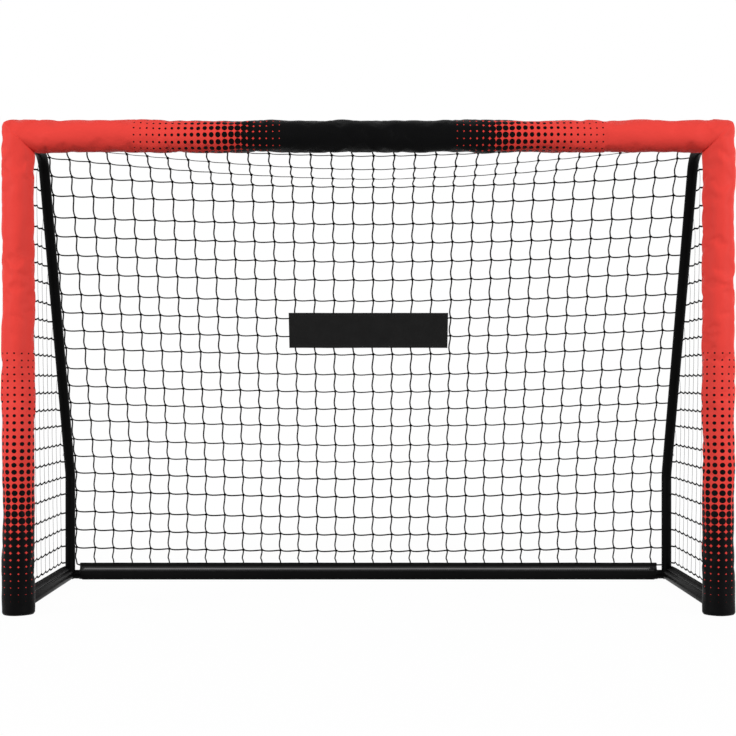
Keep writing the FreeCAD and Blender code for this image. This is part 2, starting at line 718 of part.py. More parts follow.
def strip_face(radius, sheet_thickness, width, to_point):
    """Face of a closure strip: two arcs joined by straight ends, laid out by to_point."""
    inner, outer = closure_strip(radius, sheet_thickness, width)
    inner = [to_point(*point) for point in inner]
    outer = [to_point(*point) for point in outer]
    edges = [
        Part.Arc(inner[0], inner[2], inner[4]).toShape(),
        Part.LineSegment(inner[4], outer[0]).toShape(),
        Part.Arc(outer[0], outer[2], outer[4]).toShape(),
        Part.LineSegment(outer[4], inner[0]).toShape(),
    ]
    return Part.Face(Part.Wire(edges))


def make_closures():
    """Hook-and-loop strips behind the three covers, where they close over the net's edge."""
    radius = size("pad_width / 2 + soft_gap")
    thickness, width = size("closure_sheet"), size("closure_width")
    half_span, beam = size("half_span"), size("beam_height")
    margin = size("closure_margin")
    for side, hand in HAND.items():
        bottom = margin
        top = beam - size("pad_width / 2") - margin
        face = strip_face(
            radius, thickness, width,
            lambda across, back: Vector(side * (half_span + across), back, bottom),
        )
        soft_piece(f"closure_post_{hand}", face.extrude(Vector(0, 0, top - bottom)))
    start = -half_span + margin
    face = strip_face(radius, thickness, width, lambda across, back: Vector(start, back, beam + across))
    soft_piece("closure_crossbar", face.extrude(Vector(-2 * start, 0, 0)))


def net_front(offset):
    """Depth at which a net face at this distance from the tube axis meets the closure strips."""
    strip = size("pad_width / 2 + soft_gap + closure_sheet")
    return math.sqrt(strip**2 - offset**2) + size("soft_gap")


def net_profile(offset):
    """Corners of the roof-and-back net at a distance outside the tube axis, as (depth, height)."""
    slope = math.radians(size("slope_angle"))
    turn = math.radians(size("rail_turn"))
    depth, knee, beam = size("base_depth"), size("knee_height"), size("beam_height")
    bend = size("rail_bend")
    centre = (size("rail_reach - rail_tangent"), beam - bend)
    facets = round(size("fold_facets"))
    knee_lift = offset * math.tan(slope / 2)
    corners = [(depth + offset, size("hem_top + twine")), (depth + offset, knee + knee_lift)]
    for step in range(facets + 1):
        angle = turn * (1 - step / facets)
        radius = bend + offset
        corners.append((centre[0] + radius * math.sin(angle), centre[1] + radius * math.cos(angle)))
    corners.append((net_front(size("net_inside")), beam + offset))
    return corners


def column_solids(left, width):
    """Upright cord from the hem over the fold to the crossbar, one prism for each straight run."""
    inner = net_profile(size("net_inside"))
    outer = net_profile(size("net_middle"))
    solids = []
    for run in range(len(inner) - 1):
        ring = [inner[run], inner[run + 1], outer[run + 1], outer[run]]
        points = [Vector(left, depth, height) for depth, height in ring]
        solids.append(prism(points, Vector(width, 0, 0)))
    return solids


def runs_of(corners):
    """Start, direction and length of each straight run between corners."""
    for start, end in zip(corners, corners[1:]):
        step = (end[0] - start[0], end[1] - start[1])
        length = math.hypot(*step)
        yield start, (step[0] / length, step[1] / length), length


def row_solids():
    """Cords across the net, one mesh apart along its profile, on the outside of the uprights."""
    twine, mesh = size("twine"), size("mesh")
    half = size("half_span + net_outside")
    corners = net_profile(size("net_middle"))
    solids = []
    to_next = mesh
    for start, along, length in runs_of(corners):
        out = (along[1], -along[0])
        while to_next < length - twine:
            middle = (start[0] + along[0] * to_next, start[1] + along[1] * to_next)
            low = (middle[0] - along[0] * twine / 2, middle[1] - along[1] * twine / 2)
            ring = [
                low,
                (low[0] + along[0] * twine, low[1] + along[1] * twine),
                (low[0] + (along[0] + out[0]) * twine, low[1] + (along[1] + out[1]) * twine),
                (low[0] + out[0] * twine, low[1] + out[1] * twine),
            ]
            points = [Vector(-half, depth, height) for depth, height in ring]
            solids.append(prism(points, Vector(2 * half, 0, 0)))
            to_next += mesh
        to_next = max(to_next - length, twine)
    return solids


def make_main_net():
    """Roof and back of the net, with its seam ropes and the rope along the hem."""
    half_span, twine, mesh = size("half_span"), size("twine"), size("mesh")
    rope = size("seam_rope")
    seam = size("half_span + net_inside")
    first = -half_span + size("column_inset")
    count = int((seam - twine - first) / mesh) + 1
    solids = []
    for column in range(count):
        solids += column_solids(first + column * mesh - twine / 2, twine)
    solids += column_solids(-seam - rope, rope)
    solids += column_solids(seam, rope)
    solids += row_solids()
    back, bottom = size("base_depth + net_inside"), size("hem_top")
    solids.append(Part.makeBox(2 * (seam + rope), twine, twine, Vector(-seam - rope, back, bottom)))
    soft_piece("net_roof_and_back", Part.makeCompound(solids))


def side_outline():
    """Outline of a side net as (depth, height): the frame's side view, out to the main net."""
    corners = net_profile(size("net_inside"))
    front = net_front(size("net_inside"))
    return corners + [(front, size("hem_top + twine"))]


def make_side_net(side, hand):
    """Side net: uprights inside, rows outside, ropes along the post and the hem."""
    twine, mesh = size("twine"), size("mesh")
    outline = side_outline()
    front, bottom = outline[-1][0], outline[-1][1]
    rear, top = outline[0][0], size("beam_height + net_inside")
    inner = size("half_span + net_inside")

    def slab(offset, depth, height, run, rise):
        """Straight cord of one layer, before it is trimmed to the outline."""
        low = inner + offset if side > 0 else -inner - offset - twine
        return Part.makeBox(twine, run, rise, Vector(low, depth, height))

    trim = prism([Vector(-2 * inner, y, z) for y, z in outline], Vector(4 * inner, 0, 0))
    cords = []
    depth = front + mesh
    while depth < rear - twine:
        cords.append(slab(0, depth - twine / 2, bottom, twine, top - bottom))
        depth += mesh
    height = bottom + size("side_row_pitch")
    while height < top - twine:
        cords.append(slab(twine, front, height - twine / 2, rear - front, twine))
        height += size("side_row_pitch")
    solids = [cord.common(trim).Solids[0] for cord in cords]
    solids.append(slab(0, front, bottom, twine, top - bottom))
    solids.append(slab(0, front, bottom - twine, rear - front, twine))
    soft_piece(f"net_side_{hand}", Part.makeCompound(solids))


def tangent_angle(radius, point, turn):
    """Angle at which a line from an outside point touches a circle about the origin."""
    return math.atan2(point[1], point[0]) + turn * math.acos(radius / math.hypot(*point))


def hem_section(to_point, all_round):
    """Face of a hem about its ground tube: a fabric loop drawn up to the net's edge.

    to_point lays out (outwards, up) from the tube's axis. A hem that isn't all round
    leaves the inner half of the tube bare.
    """
    bore = size("side_tube / 2 + soft_gap")
    radius = bore + size("hem_sheet")
    rise = size("hem_top - ground_axis")
    edge = [(size("net_middle"), rise), (size("net_inside"), rise)]
    far = tangent_angle(radius, edge[0], -1)
    near = tangent_angle(radius, edge[1], 1)

    def on_circle(circle_radius, angle):
        """Point on a circle about the tube's axis."""
        return to_point(circle_radius * math.cos(angle), circle_radius * math.sin(angle))

    def arc(circle_radius, first, last):
        """Arc about the tube's axis from one angle to another."""
        angles = (first, (first + last) / 2, last)
        return Part.Arc(*[on_circle(circle_radius, angle) for angle in angles]).toShape()

    def line(first, last):
        """Straight edge between two points."""
        return Part.LineSegment(first, last).toShape()

    edge_out, edge_in = [to_point(*point) for point in edge]
    sides = [line(on_circle(radius, far), edge_out), line(edge_out, edge_in)]
    if all_round:
        sides += [line(edge_in, on_circle(radius, near)), arc(radius, near, far + 2 * math.pi)]
        centre = to_point(0, 0)
        axis = (to_point(1, 0) - centre).cross(to_point(0, 1) - centre)
        hole = Part.Face(Part.Wire(Part.Circle(centre, axis, bore).toShape()))
        return Part.Face(Part.Wire(sides)).cut(hole)
    tail = math.asin((size("soft_gap") - size("ground_axis")) / radius)
    top = math.pi / 2
    sides += [
        line(edge_in, on_circle(radius, top)),
        line(on_circle(radius, top), on_circle(bore, top)),
        arc(bore, top, tail),
        line(on_circle(bore, tail), on_circle(radius, tail)),
        arc(radius, tail, far),
    ]
    return Part.Face(Part.Wire(sides))


def make_hems():
    """Hems of the net: all round the rear ground bar, and over the outside of the side tubes."""
    half_span, axis = size("half_span"), size("ground_axis")
    depth = size("base_depth")
    start = -size("half_span - side_tube / 2 - rear_neck")
    rear = hem_section(lambda out, up: Vector(start, depth + out, axis + up), True)
    soft_piece("hem_rear", rear.extrude(Vector(-2 * start, 0, 0)))
    first = size("hem_start")
    length = size("base_depth - hem_setback") - first
    for side, hand in HAND.items():
        section = hem_section(lambda out, up: Vector(side * (half_span + out), first, axis + up), False)
        soft_piece(f"hem_side_{hand}", section.extrude(Vector(0, length, 0)))


# Zip of the rear hem: each piece is drawn about the zip's line, with Y up the hem and Z out of it
def block(name, lengths, at):
    """Box whose lengths and place are formulas."""
    piece = doc.addObject("Part::Box", name)
    for prop, length in zip(("Length", "Width", "Height"), lengths):
        bind(piece, prop, length)
    place(piece, at)
    return piece


def lay_on_hem(piece, across, lift="0", tilt=0):
    """Put a piece on the line of the zip, lifted off the hem's face and tilted along the zip."""
    lean = "hem_lean * 1deg"
    out = f"(ground_axis + {lift})"
    depth = f"front_line + base_depth + zip_middle * cos({lean}) - {out} * sin({lean})"
    height = f"ground_axis + zip_middle * sin({lean}) + {out} * cos({lean})"
    turn = Rotation(Vector(1, 0, 0), size("hem_lean")) * Rotation(Vector(0, 1, 0), tilt)
    place(piece, (across, depth, height), turn)


def draw_zip(sketch):
    """Section of the closed zip: its tape with the coil on top."""
    top = "tape_sheet + coil_rise"
    draw_outline(sketch, [
        ("-zip_tape / 2", "0"), ("zip_tape / 2", "0"),
        ("zip_tape / 2", "tape_sheet"), ("zip_coil / 2", "tape_sheet"),
        ("zip_coil / 3", top), ("-zip_coil / 3", top),
        ("-zip_coil / 2", "tape_sheet"), ("-zip_tape / 2", "tape_sheet"),
    ])


def draw_slider(sketch):
    """Plan of the slider: wide shoulders at its open end, narrow where it leaves the zip closed."""
    wide = "(zip_coil / 2 + soft_gap + slider_wall)"
    narrow = "(zip_coil / 2 + soft_gap + slider_wall / 2)"
    draw_outline(sketch, [
        ("-slider_length / 2", f"-{narrow}"), ("slider_length / 4", f"-{wide}"),
        ("slider_length / 2", f"-{narrow}"), ("slider_length / 2", narrow),
        ("slider_length / 4", wide), ("-slider_length / 2", narrow),
    ])


def make_zip_slider():
    """Slider that straddles the coil, with a bail for its pull."""
    name = "zip_slider"
    seat = "tape_sheet + soft_gap"
    plate = padded_body(
        name + "_plate", "XY_Plane", draw_slider, "slider_top - tape_sheet - soft_gap", ("0", "0", seat)
    )
    bail = block(
        name + "_bail", ("bail_length", "bail_width", "bail_room + slider_wall"),
        ("-bail_length / 2", "-bail_width / 2", "slider_top - slider_wall / 4"),
    )
    groove = block(
        name + "_groove", ("2 * slider_length", "zip_coil + 2 * soft_gap", "coil_rise"),
        ("-slider_length", "-zip_coil / 2 - soft_gap", seat),
    )
    window = block(
        name + "_window", ("bail_length - 1.5 * slider_wall", "2 * bail_width", "bail_room"),
        ("-bail_length / 2 + 0.75 * slider_wall", "-bail_width", "slider_top"),
    )
    slider = cut(name, fuse(name + "_skin", [plate, bail]), fuse(name + "_waste", [groove, window]))
    lay_on_hem(slider, "zip_reach")
    finish(slider, name)


def ring_blank(name, inset):
    """Plate with two round ends, inset from the pull's outline, with the bail's strip at the origin."""
    radius = f"(pull_width / 2 - {inset})"
    near = "pull_strip / 2 - pull_width / 2"
    far = "pull_strip / 2 - pull_length + pull_width / 2"
    bottom = "-pull_sheet / 2"
    return fuse(name, [
        rod(name + "_near", radius, "pull_sheet", (near, "0", bottom)),
        rod(name + "_far", radius, "pull_sheet", (far, "0", bottom)),
        block(name + "_middle", ("pull_length - pull_width", f"2 * {radius}", "pull_sheet"),
              (far, f"-{radius}", bottom)),
    ])


def make_zip_pull():
    """Oval ring that swings in the slider's bail and leans back along the zip."""
    name = "zip_pull"
    pull = cut(name, ring_blank(name + "_skin", "0"), ring_blank(name + "_hole", "pull_strip"))
    lay_on_hem(pull, "zip_reach", "slider_top + bail_room / 2", -size("pull_lean"))
    finish(pull, name)


def make_zip():
    """Closed zip along the rear hem, with its slider and pull at the right end."""
    tape = padded_piece("hem_zip", "YZ_Plane", draw_zip, "2 * zip_reach", HERE, midplane=True)
    lay_on_hem(tape, "0")
    make_zip_slider()
    make_zip_pull()


def make_patch():
    """Plain fabric panel sewn to the inside of the back net."""
    patch = doc.addObject("Part::Box", "net_patch")
    bind(patch, "Length", "patch_width")
    bind(patch, "Width", "patch_sheet")
    bind(patch, "Height", "patch_height")
    seat = "(net_inside - patch_sheet)"
    run = "(beam_height - patch_middle) * tan(slope_angle * 1deg)"
    depth = (f"front_line + rail_reach + {run} + {seat} * cos(slope_angle * 1deg)"
             " + patch_height / 2 * sin(slope_angle * 1deg)")
    height = f"patch_middle + {seat} * sin(slope_angle * 1deg) - patch_height / 2 * cos(slope_angle * 1deg)"
    place(patch, ("-patch_width / 2", depth, height), slope_rotation())
    patch.setExpression("Placement.Rotation.Angle", bound("slope_angle * 1deg"))
    finish(patch, "net_patch")


def check_pieces():
    """Stop if any object failed or any piece has no sound shape."""
    failed = [thing.Label for thing in doc.Objects if {"Invalid", "Error"} & set(thing.State)]
    unsound = [piece.Label for piece in finished if piece.Shape.isNull() or not piece.Shape.isValid()]
    if failed or unsound:
        raise RuntimeError(f"failed objects {failed}, unsound shapes {unsound}")


def write_pieces():
    """Write one STEP file for each sub-part."""
    os.makedirs("parts", exist_ok=True)
    for piece in finished:
        piece.Shape.exportStep(os.path.join("parts", piece.Label + ".step"))


make_crossbar_tubes()
for frame_side, frame_hand in HAND.items():
    make_post_tube(frame_side, frame_hand)
    make_top_corner(frame_side, frame_hand)
    make_foot_elbow(frame_side, frame_hand)
    make_side_tube(frame_side, frame_hand)
    make_side_base(frame_side, frame_hand)
    make_end_cap(frame_side, frame_hand)
    make_snap_joints(frame_side, frame_hand)
    make_crossbar_foam(frame_side, frame_hand)
    make_post_foam(frame_side, frame_hand)
    make_post_cover(frame_side, frame_hand)
    make_side_net(frame_side, frame_hand)
make_crossbar_cover()
make_rear_bar()
make_closures()
make_main_net()
make_hems()
make_zip()
make_patch()
doc.recompute()
check_pieces()
write_pieces()
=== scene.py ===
"""Padded garden goal: fabric sleeves over foam, powder-coated tubes and a knotted net."""

import logging
import math
from dataclasses import dataclass, field
from enum import Enum
from typing import Callable, Iterable, Sequence

import bmesh
import bpy
from bpy.types import ID, Material, Node, NodeSocket, NodeTree, Object
from mathutils import Matrix, Vector, noise


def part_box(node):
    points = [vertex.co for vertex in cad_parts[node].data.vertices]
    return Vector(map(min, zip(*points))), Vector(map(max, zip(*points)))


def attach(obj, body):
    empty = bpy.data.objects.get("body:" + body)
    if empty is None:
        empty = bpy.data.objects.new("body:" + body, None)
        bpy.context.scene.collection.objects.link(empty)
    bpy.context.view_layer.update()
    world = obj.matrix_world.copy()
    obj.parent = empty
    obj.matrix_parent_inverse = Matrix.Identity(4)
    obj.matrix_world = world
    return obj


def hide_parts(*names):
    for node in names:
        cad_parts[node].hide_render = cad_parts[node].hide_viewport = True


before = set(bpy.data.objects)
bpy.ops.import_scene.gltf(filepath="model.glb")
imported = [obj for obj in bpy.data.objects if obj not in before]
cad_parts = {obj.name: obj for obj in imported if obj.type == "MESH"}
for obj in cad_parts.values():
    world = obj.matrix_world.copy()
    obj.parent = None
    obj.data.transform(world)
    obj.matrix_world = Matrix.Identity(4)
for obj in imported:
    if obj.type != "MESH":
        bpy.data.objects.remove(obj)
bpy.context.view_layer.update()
LOG = logging.getLogger("goal")

ROOT = "frame"
TURN = 2.0 * math.pi
ACROSS = Vector((1.0, 0.0, 0.0))
Colour = tuple[float, float, float]
Pair = tuple[float, float]
Face = tuple[int, ...]


def grey(level: float) -> Colour:
    """Grey of a level."""
    return (level, level, level)


def set_all(target: object, **settings: object) -> None:
    """Set some settings of a node, a modifier or other data."""
    for name, setting in settings.items():
        setattr(target, name, setting)


class Hand(Enum):
    """Side of the goal as seen from the field."""

    LEFT = -1
    RIGHT = 1

    @property
    def word(self) -> str:
        """Ending of this side's piece names."""
        return self.name.lower()


class Axis(Enum):
    """Direction in which a sleeve runs."""

    X = 0
    Z = 2


# Shader building


def operator(operation: str, flipped: bool = False) -> Callable[["Value", "Value | float"], "Value"]:
    """Operator on two values that adds a Math node, with its inputs flipped for a reflected form."""

    def apply(value: "Value", other: "Value | float") -> "Value":
        """Result of the node."""
        inputs = (other, value) if flipped else (value, other)
        return value.nodes.maths(operation, *inputs)

    return apply


class Value:
    """Shader socket that can be written in sums."""

    def __init__(self, nodes: "Nodes", socket: NodeSocket) -> None:
        """Wrap an output socket that carries a number."""
        self.nodes = nodes
        self.socket = socket

    __add__ = __radd__ = operator("ADD")
    __mul__ = __rmul__ = operator("MULTIPLY")
    __sub__ = operator("SUBTRACT")
    __rsub__ = operator("SUBTRACT", flipped=True)
    __truediv__ = operator("DIVIDE")
    __rtruediv__ = operator("DIVIDE", flipped=True)
    raised = operator("POWER")
    least = operator("MINIMUM")
    most = operator("MAXIMUM")

    def sine(self) -> "Value":
        """Sine of an angle in radians."""
        return self.nodes.maths("SINE", self)

    def absolute(self) -> "Value":
        """Size without its sign."""
        return self.nodes.maths("ABSOLUTE", self)

    def centred(self) -> "Value":
        """Distance from the nearest whole number, from -0.5 to 0.5."""
        return self.nodes.maths("FRACT", self + 0.5) - 0.5

    def step(self, low: float, high: float) -> "Value":
        """Smooth rise from 0 at low to 1 at high, or a fall where low is above high."""
        first, last = (1.0, 0.0) if low > high else (0.0, 1.0)
        inputs = {"Value": self, "From Min": min(low, high), "From Max": max(low, high)}
        inputs |= {"To Min": first, "To Max": last}
        return self.nodes.value("ShaderNodeMapRange", {"interpolation_type": "SMOOTHSTEP"}, inputs)


Input = Value | NodeSocket | float | tuple[float, ...]


class Nodes:
    """Node tree that is filled through a few methods."""

    def __init__(self, tree: NodeTree) -> None:
        """Empty a tree."""
        self.tree = tree
        self.tree.nodes.clear()

    def link(self, source: NodeSocket, target: NodeSocket) -> None:
        """Join two sockets."""
        self.tree.links.new(source, target)

    def node(self, kind: str, settings: dict | None = None, inputs: dict | None = None) -> Node:
        """Add a node.

        Args:
            kind: type of the node.
            settings: its own settings, which are set first.
            inputs: values or links for its sockets, by name or number.

        Returns:
            The node.
        """
        node = self.tree.nodes.new(kind)
        set_all(node, **(settings or {}))
        for key, given in (inputs or {}).items():
            self.feed(node.inputs[key], given)
        return node

    def feed(self, socket: NodeSocket, given: Input) -> None:
        """Set an input to a number or a colour, or link it to a value or a socket."""
        source = given.socket if isinstance(given, Value) else given
        if isinstance(source, NodeSocket):
            self.link(source, socket)
        elif isinstance(given, tuple) and len(given) == 3 and socket.type == "RGBA":
            socket.default_value = (*given, 1.0)
        else:
            socket.default_value = given

    def value(self, kind: str, settings: dict | None = None, inputs: dict | None = None) -> Value:
        """Add a node and wrap its first output."""
        return Value(self, self.node(kind, settings, inputs).outputs[0])

    def maths(self, operation: str, *inputs: Input) -> Value:
        """Result of a Math node."""
        return self.value("ShaderNodeMath", {"operation": operation}, dict(enumerate(inputs)))

    def split(self, coordinates: NodeSocket) -> tuple[Value, Value, Value]:
        """The three parts of a vector."""
        parts = self.node("ShaderNodeSeparateXYZ", inputs={0: coordinates}).outputs
        return tuple(Value(self, part) for part in parts)

    @property
    def place(self) -> NodeSocket:
        """Object coordinates."""
        return self.node("ShaderNodeTexCoord").outputs["Object"]

    def along_surface(self, name: str) -> tuple[Value, Value]:
        """The two coordinates of a UV map, in metres."""
        return self.split(self.node("ShaderNodeUVMap", {"uv_map": name}).outputs[0])[:2]

    def noise(self, scale: float, detail: float = 2.0, roughness: float = 0.5) -> Value:
        """Soft noise from 0 to 1, with so many waves per metre and octaves of detail."""
        inputs = {"Vector": self.place, "Scale": scale, "Detail": detail, "Roughness": roughness}
        return self.value("ShaderNodeTexNoise", None, inputs)

    def cells(self, scale: float) -> Value:
        """Distance pattern of small cells."""
        return self.value("ShaderNodeTexVoronoi", None, {"Vector": self.place, "Scale": scale})

    def blend(self, amount: Input, first: Input, second: Input) -> NodeSocket:
        """Mix of two colours, by the share of the second."""
        inputs = {0: amount, 6: first, 7: second}
        return self.node("ShaderNodeMix", {"data_type": "RGBA"}, inputs).outputs[2]

    def mix(self, amount: Input, first: NodeSocket, second: NodeSocket) -> NodeSocket:
        """Mix of two shaders, by the share of the second."""
        return self.node("ShaderNodeMixShader", inputs={0: amount, 1: first, 2: second}).outputs[0]

    def bump(self, height: Value, depth: float, under: NodeSocket | None = None) -> NodeSocket:
        """Normal from a height between 0 and 1, its depth in metres and a bump below it."""
        inputs = {"Strength": 1.0, "Distance": depth, "Height": height}
        if under is not None:
            inputs["Normal"] = under
        return self.node("ShaderNodeBump", None, inputs).outputs[0]


class Shader(Nodes):
    """Node tree of one material with a Principled shader."""

    def __init__(self, name: str) -> None:
        """Start a material of this name."""
        self.material: Material = bpy.data.materials.new(name)
        self.material.use_nodes = True
        super().__init__(self.material.node_tree)
        self.output = self.node("ShaderNodeOutputMaterial")
        self.principled = self.node("ShaderNodeBsdfPrincipled")
        self.link(self.principled.outputs[0], self.output.inputs["Surface"])

    def surface(self, **inputs: Input) -> Material:
        """Set the Principled shader's inputs, named with underscores for spaces."""
        for name, given in inputs.items():
            self.feed(self.principled.inputs[name.replace("_", " ")], given)
        return self.material


# Finishes


@dataclass(frozen=True)
class PowderCoat:
    """Satin black powder coat with a faint orange peel."""

    colour: Colour = (0.0012, 0.0012, 0.0013)
    dusty: Colour = grey(0.0034)
    roughness: float = 0.42

    def material(self) -> Material:
        """Build the material."""
        shader = Shader("powder_coat")
        peel = shader.noise(420.0, 2.0)
        dust = shader.noise(9.0, 4.0, 0.6)
        scuff = shader.noise(60.0, 5.0, 0.7).step(0.60, 0.72)
        return shader.surface(
            Base_Color=shader.blend(dust * 0.6 + scuff * 0.3, self.colour, self.dusty),
            Roughness=dust * 0.12 + scuff * 0.10 + (self.roughness - 0.06),
            Specular_IOR_Level=0.035,
            Normal=shader.bump(peel, 0.00004),
        )


@dataclass(frozen=True)
class BareSteel:
    """Bright zinc or oiled strip steel with drawn scratches."""

    name: str
    colour: Colour
    roughness: float

    def material(self) -> Material:
        """Build the material."""
        shader = Shader(self.name)
        blotch = shader.noise(160.0, 3.0)
        scratch = shader.noise(900.0, 3.0, 0.7)
        colour = shader.blend(blotch * 0.4, self.colour, tuple(0.7 * part for part in self.colour))
        return shader.surface(
            Base_Color=colour,
            Metallic=1.0,
            Roughness=blotch * 0.15 + (self.roughness - 0.05),
            Normal=shader.bump(scratch, 0.00002),
        )


@dataclass(frozen=True)
class CapPlastic:
    """Black polyethylene with a fine spark-eroded texture."""

    def material(self) -> Material:
        """Build the material."""
        shader = Shader("cap_plastic")
        grain = shader.noise(1500.0, 3.0)
        return shader.surface(
            Base_Color=shader.blend(grain * 0.5, grey(0.003), grey(0.008)),
            Roughness=grain * 0.1 + 0.45,
            Specular_IOR_Level=0.08,
            Normal=shader.bump(grain, 0.00005),
        )


@dataclass(frozen=True)
class FoamCell:
    """Closed-cell foam: small bubbles cut open in a dull skin."""

    def material(self) -> Material:
        """Build the material."""
        shader = Shader("foam")
        bubbles = shader.cells(420.0)
        shade = shader.noise(30.0, 3.0)
        return shader.surface(
            Base_Color=shader.blend(shade * bubbles, (0.018, 0.018, 0.019), (0.045, 0.045, 0.047)),
            Roughness=0.85,
            Specular_IOR_Level=0.25,
            Normal=shader.bump(bubbles, 0.0006),
        )


@dataclass(frozen=True)
class Halftone:
    """Dots of a sleeve's print, which swell along it until only the black is left; in metres."""

    pitch_round: float
    pitch_along: float
    row: float
    start: float
    touch: float
    closed: float
    swell: float
    shut: float
    shut_size: float
    line: float = 0.0
    least: float = 0.125


@dataclass(frozen=True)
class SleeveFabric:
    """Coated polyester of the sleeves: red, with a black halftone that swells until it closes."""

    name: str
    halftone: Halftone
    red: Colour = (0.79, 0.059, 0.047)
    worn_red: Colour = (0.70, 0.052, 0.041)
    black: Colour = (0.0012, 0.0012, 0.0013)
    worn_black: Colour = (0.0034, 0.0034, 0.0037)
    edge: float = 0.028
    thread: float = 0.0011

    def dot_size(self, along: Value) -> Value:
        """Radius of the dots, in pitches, at a place along the sleeve."""
        tone = self.halftone
        begun = along.step(tone.start + 0.004, tone.start)
        grown = ((tone.start - along) / (tone.start - tone.touch)).most(0.0).least(1.0)
        shut = ((tone.touch - along) / (tone.touch - tone.closed)).most(0.0).least(1.0)
        size = begun * (tone.least + 0.06) - 0.06 + grown.raised(tone.swell) * (0.5 - tone.least)
        return size + shut.raised(tone.shut) * tone.shut_size + shut.step(0.93, 1.0) * 0.12

    def material(self) -> Material:
        """Build the material."""
        shader = Shader(self.name)
        around, run = shader.along_surface("wrap")
        tone = self.halftone
        along = run.absolute()
        off_line = ((around - tone.line) / tone.pitch_round).centred()
        off_row = ((along - tone.row) / tone.pitch_along).centred()
        distance = (off_line * off_line + off_row * off_row).raised(0.5)
        dots = (self.dot_size(along) - distance).step(-self.edge, self.edge)
        turn = 2.0 * math.pi / self.thread
        weave = (around * turn).sine() * (run * turn).sine() * 0.5 + 0.5
        wear = shader.noise(14.0, 4.0, 0.6)
        crease = shader.noise(55.0, 3.0, 0.55)
        relief = shader.bump(weave, 0.00006, shader.bump(crease, 0.0008))
        red = shader.blend(wear * 0.6, self.red, self.worn_red)
        black = shader.blend(wear, self.black, self.worn_black)
        return shader.surface(
            Base_Color=shader.blend(dots, red, black),
            Roughness=wear * 0.12 + dots * -0.04 + 0.40,
            Specular_IOR_Level=0.04,
            Normal=relief,
        )


@dataclass(frozen=True)
class Twine:
    """Black polyethylene twine, laid from three strands, with painted shading of their relief: darker in the
    valleys, lighter on the crests.
    """

    name: str = "net_twine"
    lay: float = 0.009
    # Painted shading of the strands' relief: painted shade in the valleys, lighter crests.
    valley: Colour = grey(0.0012)
    crest: Colour = grey(0.0055)

    def material(self) -> Material:
        """Build the material."""
        shader = Shader(self.name)
        around, along = shader.along_surface("cord")
        strands = (around * (3.0 * 2.0 * math.pi) + along * (2.0 * math.pi / self.lay)).sine()
        strands = strands * 0.5 + 0.5
        fibre = shader.noise(1400.0, 2.0)
        return shader.surface(
            # The colour follows the strands' relief: painted shade in the valleys between the strands,
            # lighter on their crests.
            Base_Color=shader.blend(strands, self.valley, self.crest),
            Roughness=fibre * 0.2 + 0.55,
            Specular_IOR_Level=0.05,
            Normal=shader.bump(strands, 0.0004),
        )


@dataclass(frozen=True)
class BandWeave:
    """Woven black band or panel cloth, with ribs across and fine threads along."""

    name: str
    rib: float
    light: float
    roughness: float = 0.7
    depth: float = 0.00012

    def material(self) -> Material:
        """Build the material."""
        shader = Shader(self.name)
        across, along = shader.along_surface("cloth")
        turn = 2.0 * math.pi / self.rib
        weave = (across * turn).sine() * (along * turn).sine() * 0.5 + 0.5
        lint = shader.noise(35.0, 4.0, 0.6)
        dark = (self.light * 0.6,) * 3
        pale = (self.light * 1.5,) * 3
        return shader.surface(
            Base_Color=shader.blend(lint * 0.6 + weave * 0.4, dark, pale),
            Roughness=lint * 0.1 + self.roughness - 0.05,
            Specular_IOR_Level=0.035,
            Normal=shader.bump(weave, self.depth),
        )


@dataclass(frozen=True)
class HookTape:
    """Hook-and-loop tape: a mat of tiny loops."""

    def material(self) -> Material:
        """Build the material."""
        shader = Shader("hook_and_loop")
        loops = shader.cells(900.0)
        return shader.surface(
            Base_Color=shader.blend(loops, grey(0.003), grey(0.02)),
            Roughness=0.9,
            Specular_IOR_Level=0.1,
            Normal=shader.bump(loops, 0.0008),
        )


@dataclass(frozen=True)
class Nylon:
    """Smooth dyed nylon of sewing thread and zip teeth."""

    name: str
    colour: Colour
    roughness: float = 0.4

    def material(self) -> Material:
        """Build the material."""
        shader = Shader(self.name)
        streak = shader.noise(1100.0, 3.0, 0.6)
        return shader.surface(
            Base_Color=shader.blend(streak, tuple(0.7 * part for part in self.colour), self.colour),
            Roughness=streak * 0.15 + self.roughness,
            Specular_IOR_Level=0.4,
            Normal=shader.bump(streak, 0.00005),
        )


@dataclass(frozen=True)
class ZipEnamel:
    """Black enamel on cast zinc, rubbed bright on its edges."""

    def material(self) -> Material:
        """Build the material."""
        shader = Shader("zip_metal")
        wear = shader.noise(700.0, 4.0, 0.65).step(0.62, 0.72)
        return shader.surface(
            Base_Color=shader.blend(wear, (0.006, 0.006, 0.0065), (0.16, 0.16, 0.165)),
            Metallic=wear * 0.9,
            Roughness=0.32,
            Specular_IOR_Level=0.15,
        )


# Modelling by hand


def clamp(value: float, low: float = 0.0, high: float = 1.0) -> float:
    """The value, kept between two limits."""
    return min(high, max(low, value))


def spread(start: float, end: float, count: int) -> list[float]:
    """Even places from one number to another, with both ends."""
    return [start + (end - start) * step / count for step in range(count + 1)]


def lengths(points: Sequence[Vector]) -> list[float]:
    """Length of a line from its start to each of its points."""
    runs = [0.0]
    for before, after in zip(points, points[1:]):
        runs.append(runs[-1] + (after - before).length)
    return runs


def new_object(name: str, data: ID) -> Object:
    """Link a new object that shows some data."""
    made = bpy.data.objects.new(name, data)
    bpy.context.collection.objects.link(made)
    return made


def new_mesh(name: str, points: Iterable[Vector], faces: list[Face], layer: str,
             corners: list[float]) -> Object:
    """Make a piece from its points, its faces and both coordinates of their corners in a UV map."""
    mesh = bpy.data.meshes.new(name)
    mesh.from_pydata([tuple(point) for point in points], [], faces)
    mesh.uv_layers.new(name=layer).uv.foreach_set("vector", corners)
    return new_object(name, mesh)


